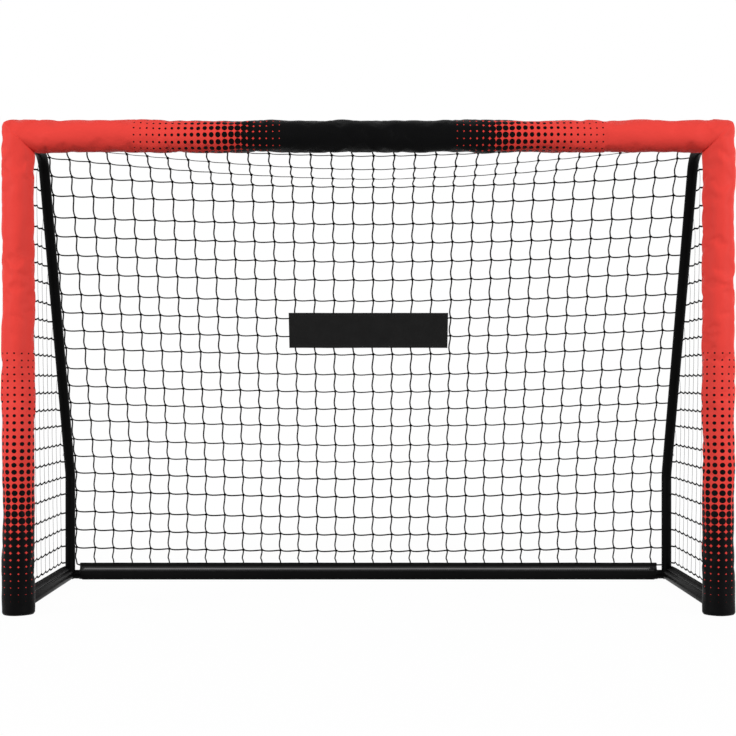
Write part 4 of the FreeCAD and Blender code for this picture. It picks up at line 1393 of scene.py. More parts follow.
@dataclass
class SideFrame:
    """Tubes of one side: rail, slope, knee, upright and ground tube."""

    layout: Layout
    hand: Hand
    slip: float = 0.05
    step: float = 0.0006
    bead: float = 0.0006

    @property
    def x(self) -> float:
        """Plane of this side's tubes."""
        return self.hand.value * self.layout.half_span

    def drawer(self, name: str, radius: float, start: Vector, heading: Sequence[float]) -> TubeDrawer:
        """Start a tube of this side."""
        return TubeDrawer(f"{name}_{self.hand.word}", radius, start, Vector(heading))

    def rail_and_slope(self, coat: Material) -> None:
        """Top rail, its bend and the slope in one tube."""
        lay = self.layout
        start = lay.at(self.x, lay.rail_start, lay.beam)
        drawer = self.drawer("rail_and_slope", lay.tube, start, (0, 1, 0))
        drawer.run_past_hole(lay.rail_end - lay.rail_start, lay.rail_button - lay.rail_start)
        drawer.bend(lay.at(self.x, lay.rail_end, lay.beam - lay.rail_bend), -lay.rail_turn)
        length = (lay.at(self.x, *lay.up_slope(lay.knee_neck)) - drawer.at).length
        drawer.run_past_hole(length, length + lay.knee_neck - lay.knee_button)
        piece = drawer.finish()
        inner, outer = (self.x - way * self.hand.value * lay.tube for way in (1, -1))
        drill(piece, lay.at(inner, lay.rail_button, lay.beam))
        drill(piece, lay.at(outer, *lay.up_slope(lay.knee_button)))
        smooth(piece, 35.0)
        dress(piece, coat, [f"side_tube_{self.hand.word}"])

    def base(self, coat: Material) -> None:
        """Knee, upright and ground tube."""
        lay = self.layout
        start = lay.at(self.x, *lay.up_slope(lay.knee_neck + self.slip))
        down = (0, math.sin(lay.slope), -math.cos(lay.slope))
        drawer = self.drawer("knee_and_upright", lay.plug, start, down)
        drawer.run(self.slip - self.step).taper(self.step, lay.tube / lay.plug).run(lay.knee_neck)
        centre = lay.at(self.x, lay.depth - lay.knee_bend, lay.knee - lay.knee_tangent)
        drawer.bend(centre, -lay.slope, steps=8)
        upright = drawer.run(drawer.at.z - lay.ground).finish()
        rear = lay.depth + lay.tube
        drawer = self.drawer("ground_tube", lay.tube, lay.at(self.x, rear, lay.ground), (0, -1, 0))
        ground = drawer.run(rear - lay.foot_reach).finish()
        start = lay.at(self.x, lay.depth, lay.ground)
        drawer = self.drawer("rear_plug", lay.plug, start, (-self.hand.value, 0, 0))
        plug = drawer.run(lay.tube + lay.rear_neck + 0.06).finish()
        node = [f"side_base_{self.hand.word}"]
        for piece in (upright, ground, plug):
            dress(piece, coat, node)
        self.welds(coat, node)

    def welds(self, coat: Material, node: list[str]) -> None:
        """Weld beads where the upright and the rear plug meet the ground tube."""
        lay = self.layout
        bead = self.bead
        beads = CordMesh(f"weld_beads_{self.hand.word}", sides=8)
        count = 72
        upright: list[Vector] = []
        plug: list[Vector] = []
        for step in range(count):
            angle = TURN * step / count
            ripple = 1.0 + 0.012 * math.sin(angle * 24.0)
            side, along = math.cos(angle), math.sin(angle)
            x = self.x + side * (lay.tube + bead) * ripple
            rise = lay.tube * abs(along) * ripple + bead
            upright.append(lay.at(x, lay.depth + along * (lay.tube + bead), lay.ground + rise))
            reach = math.sqrt(lay.tube ** 2 - (lay.plug * along) ** 2) * ripple + bead
            depth, height = lay.depth + (lay.plug + bead) * side, lay.ground + (lay.plug + bead) * along
            plug.append(lay.at(self.x - self.hand.value * reach, depth, height))
        beads.add(upright, 0.0017, closed=True)
        beads.add(plug, 0.0015, closed=True)
        beads.build(coat, "powder_coat", node)

    def foot(self, coat: Material) -> None:
        """Bent tube from the post to the ground tube."""
        lay = self.layout
        drawer = self.drawer("foot_bend", lay.tube, lay.at(self.x, 0.0, lay.foot_rise), (0, 0, -1))
        drawer.run(lay.foot_rise - lay.ground - lay.foot_bend)
        drawer.bend(lay.at(self.x, lay.foot_bend, lay.ground + lay.foot_bend), math.pi / 2.0)
        drawer.run_past_hole(lay.foot_reach - lay.foot_bend, lay.foot_button - lay.foot_bend)
        piece = drawer.finish()
        drill(piece, lay.at(self.x - self.hand.value * lay.tube, lay.foot_button, lay.ground))
        smooth(piece, 35.0)
        dress(piece, coat, [f"foot_elbow_{self.hand.word}"])

    def build(self, coat: Material) -> None:
        """Make this side's tubes."""
        self.rail_and_slope(coat)
        self.base(coat)
        self.foot(coat)


@dataclass
class RearBar:
    """Ground bar along the rear, in two halves."""

    layout: Layout

    def build(self, coat: Material) -> None:
        """Make both halves."""
        lay = self.layout
        for hand in Hand:
            outer = lay.at(hand.value * lay.rear_reach, lay.depth, lay.ground)
            inward = Vector((-hand.value, 0, 0))
            drawer = TubeDrawer(f"rear_bar_half_{hand.word}", lay.tube, outer, inward)
            piece = drawer.run(lay.rear_reach).finish()
            dress(piece, coat, [f"rear_bar_{hand.word}"])


@dataclass
class NetShape:
    """Shape in which the roof-and-back net hangs."""

    layout: Layout
    pitch: float = 0.0527
    wide_every: int = 4
    wide_extra: float = 0.0070
    first_row: float = 0.0440
    sag: float = 0.0202
    sag_power: float = 1.6
    rows: int = 25
    facets: int = 12
    fold_row: int = 20
    middle_fold: tuple[Pair, ...] = (
        (0.324, 1.052), (0.300, 1.091), (0.250, 1.105), (0.200, 1.123), (0.152, 1.150), (0.105, 1.173),
        (0.045, 1.186),
    )
    path: list[Vector] = field(default_factory=list)
    runs: list[float] = field(default_factory=list)

    def __post_init__(self) -> None:
        """Work out the line that the net follows over the side tubes."""
        lay = self.layout
        off = lay.net_line
        rear = lay.depth + off
        corners = [(rear, lay.hem_top), (rear, lay.knee + off * math.tan(lay.slope / 2.0))]
        radius = lay.rail_bend + off
        for step in range(self.facets + 1):
            angle = lay.rail_turn * (1.0 - step / self.facets)
            height = lay.beam - lay.rail_bend + radius * math.cos(angle)
            corners.append((lay.rail_end + radius * math.sin(angle), height))
        corners.append((lay.pad, lay.beam + off))
        self.path = [Vector((0.0, depth, height)) for depth, height in corners]
        self.runs = lengths(self.path)

    def row_run(self, row: float) -> float:
        """Length along the side line from the hem to a row."""
        whole = math.floor(row)
        part = row - whole

        def at_row(number: int) -> float:
            """Run to a whole row."""
            if number <= 0:
                return 0.0
            wide = number // self.wide_every
            return self.first_row + self.pitch * (number - 1) + self.wide_extra * wide

        return at_row(whole) * (1.0 - part) + at_row(whole + 1) * part

    def on_path(self, run: float) -> Vector:
        """Point on the side line a length from the hem."""
        run = clamp(run, 0.0, self.runs[-1])
        index = next(i for i in range(1, len(self.runs)) if run <= self.runs[i] + 1e-9)
        part = (run - self.runs[index - 1]) / (self.runs[index] - self.runs[index - 1])
        return self.path[index - 1].lerp(self.path[index], part)

    def edge(self, known: int, at: float, least: float) -> float:
        """Edge of a side panel: its height at a depth, or its depth at a height.

        Args:
            known: 1 where a depth is given, 2 where a height is.
            at: that depth or height.
            least: smallest answer.

        Returns:
            The height or the depth.
        """
        asked = 3 - known
        for before, after in zip(self.path, self.path[1:]):
            low, high = sorted((before[known], after[known]))
            if low <= at <= high and high > low:
                part = (at - before[known]) / (after[known] - before[known])
                least = max(least, before[asked] + (after[asked] - before[asked]) * part)
        return least

    def uphill(self, x: float, row: float) -> Vector:
        """Way up the net at a point, from row to row."""
        return self.point(x, row + 0.1) - self.point(x, row - 0.1)

    def facing(self, x: float, row: float) -> Vector:
        """Way straight through the net at a point."""
        return ACROSS.cross(self.uphill(x, row)).normalized()

    def in_middle(self, row: float) -> Vector:
        """Point on the line that the net follows in the middle of the goal."""
        last = self.fold_row - 1
        if row <= last:
            return self.on_path(self.row_run(row) - self.sag * (1.0 - math.exp(-row / 1.2)))
        if row < self.fold_row:
            return self.in_middle(last).lerp(Vector((0.0, *self.middle_fold[0])), row - last)
        place = min(row - self.fold_row, len(self.middle_fold) - 1.001)
        index = int(place)
        first, second = self.middle_fold[index], self.middle_fold[index + 1]
        return Vector((0.0, *first)).lerp(Vector((0.0, *second)), place - index)

    def point(self, x: float, row: float) -> Vector:
        """Point of the net at a place across the goal and a row up from the hem."""
        share = 1.0 - min(1.0, abs(x) / self.layout.half_span) ** self.sag_power
        here = self.on_path(self.row_run(row)).lerp(self.in_middle(row), share)
        return Vector((x, self.layout.front + here.y, here.z))


@dataclass
class GoalNet:
    """Knotted net: roof and back in one panel, two side panels and their seam ropes."""

    layout: Layout
    mesh: float = 0.05375
    first_column: float = -0.846
    columns: int = 33
    twine: float = 0.0020
    thin_twine: float = 0.0013
    flatness: float = 0.26
    roof_flatness: float = 0.3
    rope: float = 0.0022
    edge: float = 0.009
    hook: float = 0.030
    strip_depth: float = 0.0354
    strip_rise: float = 0.0205
    knot: float = 0.0038
    steps: int = 6
    bow: float = 0.0030
    drop: float = 0.0030
    side_mesh: float = 0.0490
    side_drop: float = 0.0046
    side_bow: float = 0.0025
    side_twine: float = 0.0023
    side_flatness: float = 0.4
    side_first: float = 0.0045
    side_low: float = 0.0100
    side_pitch: float = 0.0476
    side_extra: float = 0.0070
    side_rows: int = 23
    side_lean: float = 0.05

    @property
    def column_places(self) -> list[float]:
        """Places of the upright cords across the goal."""
        return [self.first_column + column * self.mesh for column in range(self.columns)]

    def sway(self, row: float) -> float:
        """Sideways bow of an upright cord between its knots, deepest below the middle."""
        down = 1.0 - (row - math.floor(row))
        return -self.bow * math.sin(math.pi * down ** 1.3) + 0.0008 * math.sin(TURN * down)

    def dip(self, part: float) -> float:
        """Dip of a cord across between its knots, deepest just after a knot."""
        return -self.drop * math.sin(math.pi * part ** 0.62)

    def uprights(self, shape: NetShape, twine: Material) -> None:
        """Cords from the rear hem up and over the roof to the crossbar."""
        last = shape.rows
        reach = self.layout.rear_reach
        cords = CordMesh("net_uprights")
        for x in self.column_places:
            foot = shape.point(x, 0.0)
            route = [foot - Vector((0.0, 0.0, 0.008))]
            if abs(x) > reach:
                route = []
                for share in (0.0, 0.35, 0.7, 0.9):
                    low = foot - Vector((0.0, 0.0, 0.0085 - 0.004 * share ** 3))
                    low.x = math.copysign(reach + 0.0005, x) * (1.0 - share) + x * share
                    route.append(low)
            pressed = [shape.facing(x, 0.0)] * len(route)
            for index in range((last + 1) * self.steps + 1):
                row = index / self.steps
                route.append(shape.point(x + self.sway(row) * min(1.0, 3.0 * row), row))
                pressed.append(shape.facing(x, min(row, last + 0.5)))
            route.append(self.layout.at(x, self.strip_depth, self.layout.beam + self.strip_rise))
            pressed.append(pressed[-1])
            cords.add(route, self.twine, pressed=pressed, flatness=self.flatness)
        cords.build(twine, "net_twine", ["net_roof_and_back"])

    def rows(self, shape: NetShape, twine: Material) -> None:
        """Cords across the back and the roof."""
        cords = CordMesh("net_rows")
        side = self.layout.half_span + self.edge
        start = self.first_column - self.mesh
        for row in range(1, shape.rows + 1):
            route, pressed = [], []
            for index in range((self.columns + 1) * self.steps + 1):
                x = start + index / self.steps * self.mesh
                if abs(x) > side:
                    continue
                way = shape.facing(x, row)
                up = Vector((0.0, -way.z, way.y)) * math.copysign(1.0, way.y)
                route.append(shape.point(x, row) + up * self.dip((index % self.steps) / self.steps))
                pressed.append(way)
            flatness = self.flatness * (self.roof_flatness if row >= shape.fold_row else 1.0)
            cords.add(route, self.twine, pressed=pressed, flatness=flatness)
        cords.build(twine, "net_twine", ["net_roof_and_back"])

    def knots(self, shape: NetShape, twine: Material) -> None:
        """Knots where the cords of the back and the roof cross."""
        ties = CordMesh("net_knots", sides=5)
        for row in range(1, shape.rows + 1):
            for x in self.column_places:
                ties.knot(shape.point(x, row), ACROSS, shape.uphill(x, row), self.knot)
        ties.build(twine, "net_twine", ["net_roof_and_back"])

    def seams(self, shape: NetShape, twine: Material) -> None:
        """Ropes along the side edges of the roof-and-back panel."""
        ropes = CordMesh("net_seam_ropes", sides=8)
        line = [shape.on_path(run) for run in spread(0.0, shape.runs[-1], 160)]
        for hand in Hand:
            foot = self.layout.at(hand.value * (self.layout.half_span + self.edge), 0.0, 0.0)
            ropes.add([foot + here for here in line], self.rope)
        ropes.build(twine, "net_twine", ["net_roof_and_back"])

    def side(self, shape: NetShape, hand: Hand, twine: Material) -> None:
        """Side panel."""
        lay = self.layout
        cords = CordMesh(f"side_net_{hand.word}")
        knots = CordMesh(f"side_net_knots_{hand.word}", sides=5)
        front = lay.pad - 0.008
        ceiling = lay.beam + lay.net_gap
        start = front - 14 * self.side_mesh

        def spot(depth: float, height: float, drop: float = 0.0) -> Vector:
            """Point of the panel, which is drawn in towards the seam rope near its edge."""
            above = shape.edge(1, clamp(depth, lay.pad, lay.depth), 0.0) - height
            gap = clamp(min(shape.edge(2, height, front) - depth, above), 0.0, self.hook)
            inward = (lay.net_line - self.edge) * (1.0 - gap / self.hook) ** 2
            return lay.at(hand.value * (lay.half_span + lay.net_line - inward), depth, height + drop)

        heights = [
            lay.hem_top + self.side_first + self.side_pitch * row + self.side_extra * (row // 4)
            for row in range(self.side_rows)
        ]
        depth = start
        while depth < lay.depth + 0.01:
            route = []
            for height in spread(lay.hem_top - self.side_low, ceiling, 136):
                bow = self.side_bow * math.sin(math.pi * ((height - heights[0]) / 0.0495 % 1.0))
                here = depth + self.side_lean * (lay.beam - height) - bow
                top = shape.edge(1, min(here, lay.depth), 0.0)
                if front <= here <= shape.edge(2, height, front) and height <= top:
                    route.append(spot(here, height))
            if len(route) > 2:
                cords.add(route, self.thin_twine, pressed=[ACROSS] * len(route), flatness=self.flatness)
            depth += self.side_mesh
        for height in heights:
            rear = shape.edge(2, height, front)
            shift = (start + self.side_lean * (lay.beam - height)) % self.side_mesh
            route = []
            for here in spread(front, rear, max(2, round((rear - front) / 0.008))):
                dip = self.side_drop / self.drop * self.dip((here - shift) / self.side_mesh % 1.0)
                turn = max(0.0, 1.0 - (rear - here) / self.hook) ** 2
                route.append(spot(here, height, dip - 0.004 * turn))
            cords.add(route, self.side_twine, pressed=[ACROSS] * len(route), flatness=self.side_flatness)
            here = shift + self.side_mesh * math.ceil((front - shift) / self.side_mesh)
            while here < rear:
                knots.knot(spot(here, height), Vector((0, 1, 0)), Vector((0, 0, 1)), 0.5 * self.knot)
                here += self.side_mesh
        for mesh in (cords, knots):
            mesh.build(twine, "net_twine", [f"net_side_{hand.word}"])

    def build(self) -> None:
        """Make the whole net."""
        twine = Twine().material()
        shape = NetShape(self.layout)
        for make in (self.uprights, self.rows, self.knots, self.seams):
            make(shape, twine)
        for hand in Hand:
            self.side(shape, hand, twine)


@dataclass
class Hems:
    """Fabric hems that hold the net on the ground tubes."""

    layout: Layout
    sheet: float = 0.0009
    side_start: float = 0.052
    side_setback: float = 0.006
    rear_drop: float = 0.0030
    side_drop: float = 0.0100
    lowest: float = 0.0006
    rope: float = 0.0013
    rope_gap: float = 0.0014
    lift: float = 0.0004
    turn_in: float = 0.045

    def ripple(self, along: float, around: float) -> float:
        """Small waves of the fabric."""
        slow = noise.noise(Vector((along * 9.0, around, 1.7)))
        quick = noise.noise(Vector((along * 38.0, around * 2.0, 5.1)))
        return 0.0007 * slow + 0.0004 * quick

    @property
    def rear_rise(self) -> float:
        """Height of the rear hem's upper edge over its bar's axis."""
        return self.layout.hem_rise - self.rear_drop

    def section(self, all_round: bool) -> list[Pair]:
        """Section of a hem as (outwards, up) from its tube, from the inner flap to the outer one."""
        lay = self.layout
        inner, outer = lay.net_gap + 0.0006, lay.net_gap + 0.0022
        rise = (self.rear_rise if all_round else lay.hem_rise - self.side_drop) - 0.0006
        near = lay.touching(inner, 1.0) if all_round else math.pi / 2.0
        far = lay.touching(outer, -1.0)
        radius = lay.hem_round - self.sheet / 2.0

        def on_tube(turns: Iterable[float]) -> list[Pair]:
            """Points round the tube, by their angles."""
            return [(radius * math.cos(turn), radius * math.sin(turn)) for turn in turns]

        first, last = on_tube((near, far))
        flap = [(inner, rise), *(self.part(first, (inner, rise), 1.0 - step / 8) for step in range(1, 9))]
        back = [self.part(last, (outer, rise), step / 8) for step in range(1, 9)]
        if all_round:
            return flap + on_tube(spread(near, TURN + far, 22)[1:]) + back
        tail = math.asin((0.0004 - lay.ground) / lay.hem_round)
        skirt = on_tube(spread(tail, far, 12)) + back
        return flap[::-1] + [((inner + outer) / 2.0, rise + 0.0008)] + skirt[::-1]

    @staticmethod
    def part(first: Pair, last: Pair, share: float) -> Pair:
        """Point on the way from one to another."""
        return tuple(start + (end - start) * share for start, end in zip(first, last))

    def rear(self, cloth: Material, thread: Material, twine: Material) -> None:
        """Hem round the rear ground bar, its bound upper edge and the rope on it."""
        lay = self.layout
        reach = lay.rear_reach
        sleeve = ClothMesh("rear_hem_sleeve")
        binding = ClothMesh("rear_hem_binding")
        section = self.section(True)
        middle = lay.net_gap + self.rope_gap
        for share in spread(-1.0, 1.0, 330):
            x = reach * share
            points = []
            for index, (out, up) in enumerate(section):
                push = self.ripple(x, index * 0.22) * min(1.0, abs(up + lay.ground) / 0.006)
                push *= 0.35 if 1 < index < 8 else 1.0
                scale = 1.0 + push / math.hypot(out, up)
                end = (reach - 0.0052 + 0.25 * up) * share
                height = max(self.lowest, lay.ground + up * scale)
                points.append(lay.at(end, lay.depth + out * scale, height))
            sleeve.rows.append(points)
            wave = self.ripple(x, 3.0) * 0.6
            ring = []
            for index, turn in enumerate(spread(0.0, math.pi, 6)):
                out = middle - 0.0021 * math.cos(turn) + wave
                up = self.rear_rise - 0.0075 + (0.0078 * math.sin(turn) ** 0.35 if 0 < index < 6 else 0.0)
                ring.append(lay.at(x + 0.0028 * share, lay.depth + out, lay.ground + up))
            binding.rows.append(ring)
        node = ["hem_rear"]
        piece = dress(sleeve.build(self.sheet), cloth, node)
        band = dress(binding.build(self.sheet), cloth, node)
        sewing = self.rear_stitches(thread, node)
        sleeve.size
        binding.size
        rope = CordMesh("net_hem_rope", sides=8)
        route = []
        for x in spread(-reach - 0.001, reach + 0.001, 240):
            height = lay.ground + self.rear_rise + 0.4 * self.ripple(x, 8.0)
            route.append(lay.at(x, lay.depth + middle, height))
        rope.add(route, self.rope)
        rope.build(twine, "net_twine", ["net_roof_and_back"])

    def rear_stitches(self, thread: Material, node: list[str]) -> Object:
        """Three lines of stitches along the rear hem, two across at each end, and a thread bar."""
        lay = self.layout
        reach = lay.rear_reach
        seams = CordMesh("rear_hem_stitches", sides=4)
        for up in (0.0082, 0.0098, -0.0088):
            route = [lay.on_hem(x, up, self.lift) for x in spread(-reach + 0.004, reach - 0.004, 8)]
            seams.stitch(route, lay.off_hem)
        for x in (side * (reach - offset) for side in (-1, 1) for offset in (0.002, 0.0035)):
            route = [lay.on_hem(x, up, self.lift) for up in (-0.010, 0.016)]
            seams.stitch(route, lay.off_hem, 0.0022, 0.0008)
        for turn in range(10):
            x = -reach + 0.0065 + 0.0007 * turn
            seams.add([lay.on_hem(x, -0.0065, 0.0006), lay.on_hem(x + 0.0003, 0.0065, 0.0006)], 0.0004)
        return seams.build(thread, "hem_fabric", node)

    def side(self, hand: Hand, cloth: Material, thread: Material) -> None:
        """Hem over the outside of a side ground tube."""
        lay = self.layout
        sleeve = ClothMesh(f"side_hem_sleeve_{hand.word}")
        section = self.section(False)
        start, end = self.side_start, lay.depth - self.side_setback

        def spot(out: float, up: float, depth: float, lift: float) -> Vector:
            """Point of the hem, lifted off the tube's axis; its edge passes close outside the upright."""
            scale = level = 1.0 + lift / math.hypot(out, up)
            near = clamp((depth - end + self.turn_in) / self.turn_in)
            if out > 0.014:
                scale *= 1.0 - 0.16 * near * near * (3.0 - 2.0 * near)
            behind = depth + near * (1.15 * max(0.0, out * scale) - 0.006)
            x = hand.value * (lay.half_span + out * scale)
            return lay.at(x, behind, max(self.lowest, lay.ground + up * level))

        for depth in spread(start, end, 110):
            along = depth + 5.0 * hand.value
            sleeve.rows.append([
                spot(*place, depth, self.ripple(along, index * 0.25) * 0.5)
                for index, place in enumerate(section)
            ])
        seams = CordMesh(f"side_hem_stitches_{hand.word}", sides=4)
        for place in (section[1], section[2], section[6]):
            route = [spot(*place, depth, 0.0007) for depth in spread(start, end, 40)]
            seams.stitch(route, Vector((-hand.value, 0, 1)).normalized())
        seams.add([spot(*section[0], depth, 0.0005) for depth in spread(start, end, 110)], 0.0007)
        node = [f"hem_side_{hand.word}"]
        piece = dress(sleeve.build(self.sheet), cloth, node)
        sewing = seams.build(thread, "hem_fabric", node)
        sleeve.size

    def build(self) -> None:
        """Make the three hems."""
        cloth = BandWeave("hem_fabric", 0.0016, 0.0038).material()
        thread = Nylon("hem_thread", (0.028, 0.028, 0.029)).material()
        self.rear(cloth, thread, Twine("hem_rope").material())
        for hand in Hand:
            self.side(hand, cloth, thread)


@dataclass
class HemZip:
    """Zip along the rear hem, with its slider and its swinging pull at the right end."""

    layout: Layout
    reach: float = 0.823
    tape: float = 0.014
    tape_sheet: float = 0.0008
    seam: float = 0.0057
    pitch: float = 0.0064
    tooth: Colour = (0.0029, 0.0052, 0.0015)
    slider: Colour = (0.013, 0.0098, 0.0017)
    slider_rise: float = 0.00345
    bail_rise: float = 0.0042
    ring: float = 0.0050
    ring_length: float = 0.006
    ring_wire: float = 0.00095
    pull_lift: float = 0.0058
    pull_lean: float = math.radians(4.0)

    def seat(self, piece: Object, x: float, out: float, lean: float = 0.0, degrees: float = 40.0) -> None:
        """Put a piece on the hem's face, its X along the zip and its Z out of it, and shade it.

        Args:
            piece: the piece.
            x: place across the goal.
            out: height over the face.
            lean: turn of its far end off the face.
            degrees: sharpest angle that is shaded smooth.
        """
        turn = Matrix.Rotation(self.layout.hem_lean, 4, "X") @ Matrix.Rotation(-lean, 4, "Y")
        take(piece)
        piece.matrix_world = Matrix.Translation(self.layout.on_hem(x, 0.0, out)) @ turn
        settle(piece)
        smooth(piece, degrees)

    def teeth(self) -> Object:
        """One tooth of each side, repeated along the zip."""
        length, width, height = self.tooth
        pair = []
        for side in (-1, 1):
            deselect()
            at = (side * self.pitch / 4.0, side * width * 0.28, height / 2.0)
            bpy.ops.mesh.primitive_cube_add(size=1.0, location=at, scale=(length, width, height))
            pair.append(started("tooth"))
            edit(pair[-1])
            squeeze(pair[-1], (0.66, 0.8, 1.0), at, lambda corner: corner.co.z > height * 0.9)
            squeeze(pair[-1], (0.55, 1.0, 1.0), at, lambda corner: corner.co.y * side > width * 0.5)
        lower, upper = pair
        merge(upper, lower, "zip_teeth")
        modify(
            upper, "ARRAY", count=int((2.0 * self.reach - 0.012) / self.pitch), use_relative_offset=False,
            use_constant_offset=True, constant_offset_displace=(self.pitch, 0.0, 0.0),
        )
        round_edges(upper, 0.00022, 1)
        apply_all(upper)
        self.seat(upper, -self.reach + 0.006, 0.0010)
        return upper

    def band(self) -> None:
        """Tape with its two lines of stitches, and the teeth along its middle."""
        lay = self.layout
        cloth = BandWeave("zip_tape", 0.0010, 0.030).material()
        nylon = Nylon("zip_teeth", (0.30, 0.30, 0.305), 0.35).material()
        tape = ClothMesh("zip_tape")
        half = self.tape / 2.0
        for x in spread(-self.reach, self.reach, 200):
            lift = 0.0006 + 0.0003 * noise.noise(Vector((x * 25.0, 0.0, 3.0)))
            tape.rows.append([lay.on_hem(x, up, lift) for up in spread(-half, half, 6)])
        seams = CordMesh("zip_stitches", sides=4)
        for up in (-self.seam, self.seam):
            seams.stitch([lay.on_hem(x, up, 0.0012) for x in (-self.reach, self.reach)], lay.off_hem)
        node = ["hem_zip"]
        piece = dress(tape.build(self.tape_sheet), cloth, node)
        sewing = seams.build(Nylon("zip_thread", grey(0.03)).material(), "zip_coil", node)
        teeth = dress(self.teeth(), nylon, node)
        tape.size

    def runner(self, enamel: Material) -> None:
        """Slider: a cast body with shoulders, open at both ends, and a bail for the pull."""
        deselect()
        length, width, height = self.slider
        origin = (0, 0, 0)
        bpy.ops.mesh.primitive_cube_add(
            size=1.0, location=(0, 0, self.slider_rise), scale=(length, width, height)
        )
        body = started("zip_runner")
        edit(body)
        for place in (length / 4.0, -length / 8.0):
            cut((place, 0, 0), (1, 0, 0))
        squeeze(body, (1, 0.70, 1), origin, lambda corner: corner.co.x < -length * 0.4)
        squeeze(body, (1, 0.82, 1), origin, lambda corner: corner.co.x > length * 0.4)
        pick(body, "FACE", lambda face: face.normal.z > 0.9)
        bpy.ops.mesh.inset(thickness=0.0013, depth=0.0004)
        deselect()
        round_edges(body, 0.0007, 3)
        apply_all(body)
        bpy.ops.mesh.primitive_torus_add(
            location=(0, 0, self.bail_rise), rotation=(math.pi / 2.0, 0, 0), major_radius=0.0033,
            minor_radius=0.0008, major_segments=28, minor_segments=10,
        )
        bail = started("bail")
        edit(bail)
        bpy.ops.transform.resize(value=(1.0, 1.5, 1.0), center_override=origin)
        cut((0, 0, self.bail_rise - 0.0002), (0, 0, 1), clear=True, fill=True)
        merge(body, bail, "zip_runner")
        self.seat(body, self.reach, 0.0)
        dress(body, enamel, ["zip_slider"], "slider")

    def handle(self, enamel: Material) -> None:
        """Pull: an oval wire ring through the bail."""
        deselect()
        bpy.ops.mesh.primitive_torus_add(
            location=(-self.ring, 0, 0), major_radius=self.ring, minor_radius=self.ring_wire,
            major_segments=40, minor_segments=12,
        )
        ring = started("zip_ring")
        edit(ring)
        pick(ring, "VERT", lambda corner: corner.co.x < -self.ring - 0.0001)
        bpy.ops.transform.translate(value=(-self.ring_length, 0, 0))
        bpy.ops.mesh.select_all(action="SELECT")
        bpy.ops.transform.resize(value=(1.0, 1.0, 0.8), center_override=(0, 0, 0))
        self.seat(ring, self.reach, self.pull_lift, self.pull_lean, 60.0)
        dress(ring, enamel, ["zip_pull"], "pull")

    def build(self) -> None:
        """Make the zip."""
        enamel = ZipEnamel().material()
        self.band()
        self.runner(enamel)
        self.handle(enamel)


@dataclass
class BackPanel:
    """Plain fabric panel sewn to the inside of the back net."""

    layout: Layout
    border: float = 0.009
    sheet: float = 0.0010
    half_tall: float = 0.0515

    def build(self) -> None:
        """Make the panel with its folded border and stitches."""
        low, high = (Vector(corner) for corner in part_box("net_patch"))
        middle = (low + high) / 2.0
        slope = self.layout.slope
        up = Vector((0.0, -math.sin(slope), math.cos(slope)))
        out = Vector((0.0, -math.cos(slope), -math.sin(slope)))
        half_wide, half_tall = (high.x - low.x) / 2.0, self.half_tall

        def spot(across: float, above: float, lift: float) -> Vector:
            """Point of the panel."""
            edge = min(half_wide - abs(across), half_tall - abs(above))
            lift += 0.0006 if edge < self.border else 0.0
            lift += 0.0010 * noise.noise(Vector((across * 11.0, above * 16.0, 0.5)))
            lift += 0.0004 * noise.noise(Vector((across * 45.0, above * 40.0, 2.5)))
            return middle + Vector((across, 0, 0)) + up * above + out * lift

        panel = ClothMesh("back_panel")
        for across in spread(-half_wide, half_wide, 110):
            panel.rows.append([spot(across, above, 0.0) for above in spread(-half_tall, half_tall, 30)])
        seams = CordMesh("back_panel_stitches", sides=4)
        for inset in (0.0025, 0.0072):
            wide, tall = half_wide - inset, half_tall - inset
            corners = [(-wide, -tall), (wide, -tall), (wide, tall), (-wide, tall), (-wide, -tall)]
            for first, last in zip(corners, corners[1:]):
                places = zip(spread(first[0], last[0], 24), spread(first[1], last[1], 24))
                route = [spot(*place, self.sheet / 2.0) for place in places]
                seams.stitch(route, out, 0.0028, 0.0011, 0.0003)
        node = ["net_patch"]
        cloth = BandWeave("panel_fabric", 0.0022, 0.0165, 0.75, 0.0002).material()
        piece = dress(panel.build(self.sheet), cloth, node)
        thread = Nylon("panel_thread", grey(0.016)).material()
        sewing = seams.build(thread, "patch_fabric", node)
        panel.size


@dataclass
class HiddenParts:
    """Solids whose own shape is right: inner tubes, snap buttons, their springs and the end caps."""

    def build(self, coat: Material) -> None:
        """Give every solid the finish of its kind, or the tubes' coat."""
        finishes = {
            "snap_button": BareSteel("button_steel", (0.62, 0.62, 0.64), 0.3).material(),
            "leaf_spring": BareSteel("spring_steel", (0.35, 0.35, 0.37), 0.35).material(),
            "end_cap": CapPlastic().material(),
        }
        for name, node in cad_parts.items():
            finish = next((made for stem, made in finishes.items() if name.startswith(stem)), coat)
            if not node.material_slots:
                node.data.materials.append(finish)
            for slot in node.material_slots:
                slot.material = finish


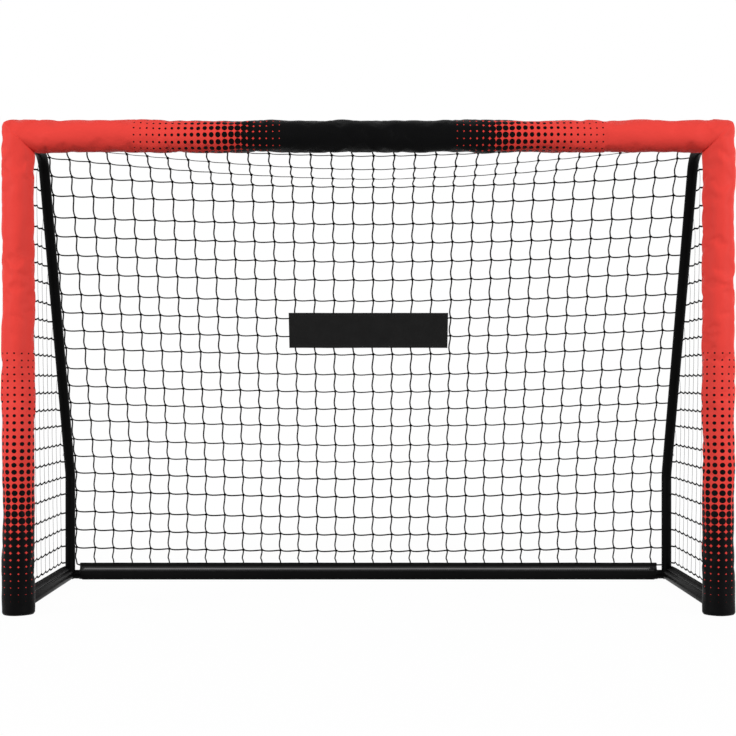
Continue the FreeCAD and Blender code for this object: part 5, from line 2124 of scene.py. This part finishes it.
@dataclass
class Studio:
    """Floor, light and the photograph's camera."""

    layout: Layout
    distance: float = 3.408
    eye_height: float = 0.5656
    lens: float = 67.86
    shift_across: float = -0.0005
    shift_up: float = 15.5 / 736.0
    sky: float = 0.46
    bounce: Colour = grey(0.30)
    glow: float = 0.975
    seeing: tuple[str, ...] = ("Is Camera Ray", "Is Glossy Ray", "Is Transmission Ray")

    def floor(self) -> None:
        """White floor that keeps a soft shadow and fades into the background."""
        deselect()
        bpy.ops.mesh.primitive_plane_add(size=60.0, location=(0, 20.0, -0.0002))
        floor = started("floor")
        shader = Shader("floor")
        path = shader.node("ShaderNodeLightPath")
        camera, glossy, clear = (Value(shader, path.outputs[name]) for name in self.seeing)
        seen = camera.most(glossy).most(clear)
        across, away, _ = shader.split(shader.place)
        distance = (across * across + away * away).raised(0.5)
        ground = shader.blend(seen, self.bounce, grey(0.9))
        shader.surface(Base_Color=ground, Roughness=0.9, Specular_IOR_Level=0.0)
        glow = shader.node("ShaderNodeEmission", inputs={"Color": grey(1.0), "Strength": 1.0})
        share = seen * (distance.step(1.1, 2.2) * (1.0 - self.glow) + self.glow)
        mix = shader.mix(share, shader.principled.outputs[0], glow.outputs[0])
        shader.link(mix, shader.output.inputs["Surface"])
        floor.data.materials.append(shader.material)

    def world(self) -> None:
        """Even light all round, white where the goal or the camera mirrors or sees it."""
        world = bpy.data.worlds.new("studio")
        bpy.context.scene.world = world
        world.use_nodes = True
        nodes = Nodes(world.node_tree)
        path = nodes.node("ShaderNodeLightPath")
        light, bright = (
            nodes.node("ShaderNodeBackground", inputs={"Color": grey(1.0), "Strength": strength}).outputs[0]
            for strength in (self.sky, 1.0)
        )
        for name in self.seeing:
            light = nodes.mix(path.outputs[name], light, bright)
        nodes.node("ShaderNodeOutputWorld", inputs={"Surface": light})

    def lamp(self, name: str, at: Colour, size: float, power: float) -> None:
        """Soft square lamp that faces the goal."""
        data = bpy.data.lights.new(name, "AREA")
        set_all(data, shape="SQUARE", size=size, energy=power)
        lamp = new_object(name, data)
        lamp.location = at
        target = Vector((0.0, 0.0, 0.6))
        lamp.rotation_euler = (target - Vector(at)).to_track_quat("-Z", "Y").to_euler()

    def camera(self) -> None:
        """Camera at the photograph's place."""
        data = bpy.data.cameras.new("camera")
        set_all(data, sensor_width=36.0, lens=self.lens, shift_x=self.shift_across, shift_y=self.shift_up)
        camera = new_object("camera", data)
        camera.location = (0.0, self.layout.front - self.distance, self.eye_height)
        camera.rotation_euler = (math.pi / 2.0, 0.0, 0.0)
        bpy.context.scene.camera = camera

    def build(self) -> None:
        """Set the stage."""
        bpy.context.scene.view_settings.view_transform = "Standard"
        self.floor()
        self.world()
        self.lamp("key", (-6.2, -4.2, 2.5), 2.8, 362.0)
        self.lamp("fill", (6.2, -4.1, 2.4), 2.8, 350.0)
        self.camera()


def main() -> None:
    """Build the goal and its stage."""
    logging.basicConfig(level=logging.INFO, format="%(relativeCreated)d ms %(message)s")
    layout = Layout.from_frame()
    Studio(layout).build()
    coat = PowderCoat().material()
    HiddenParts().build(coat)
    for hand in Hand:
        SideFrame(layout, hand).build(coat)
    RearBar(layout).build(coat)
    GoalNet(layout).build()
    Hems(layout).build()
    HemZip(layout).build()
    BackPanel(layout).build()
    FrontPadding(layout).build()
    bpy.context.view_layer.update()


if __name__ == "__main__":
    main()
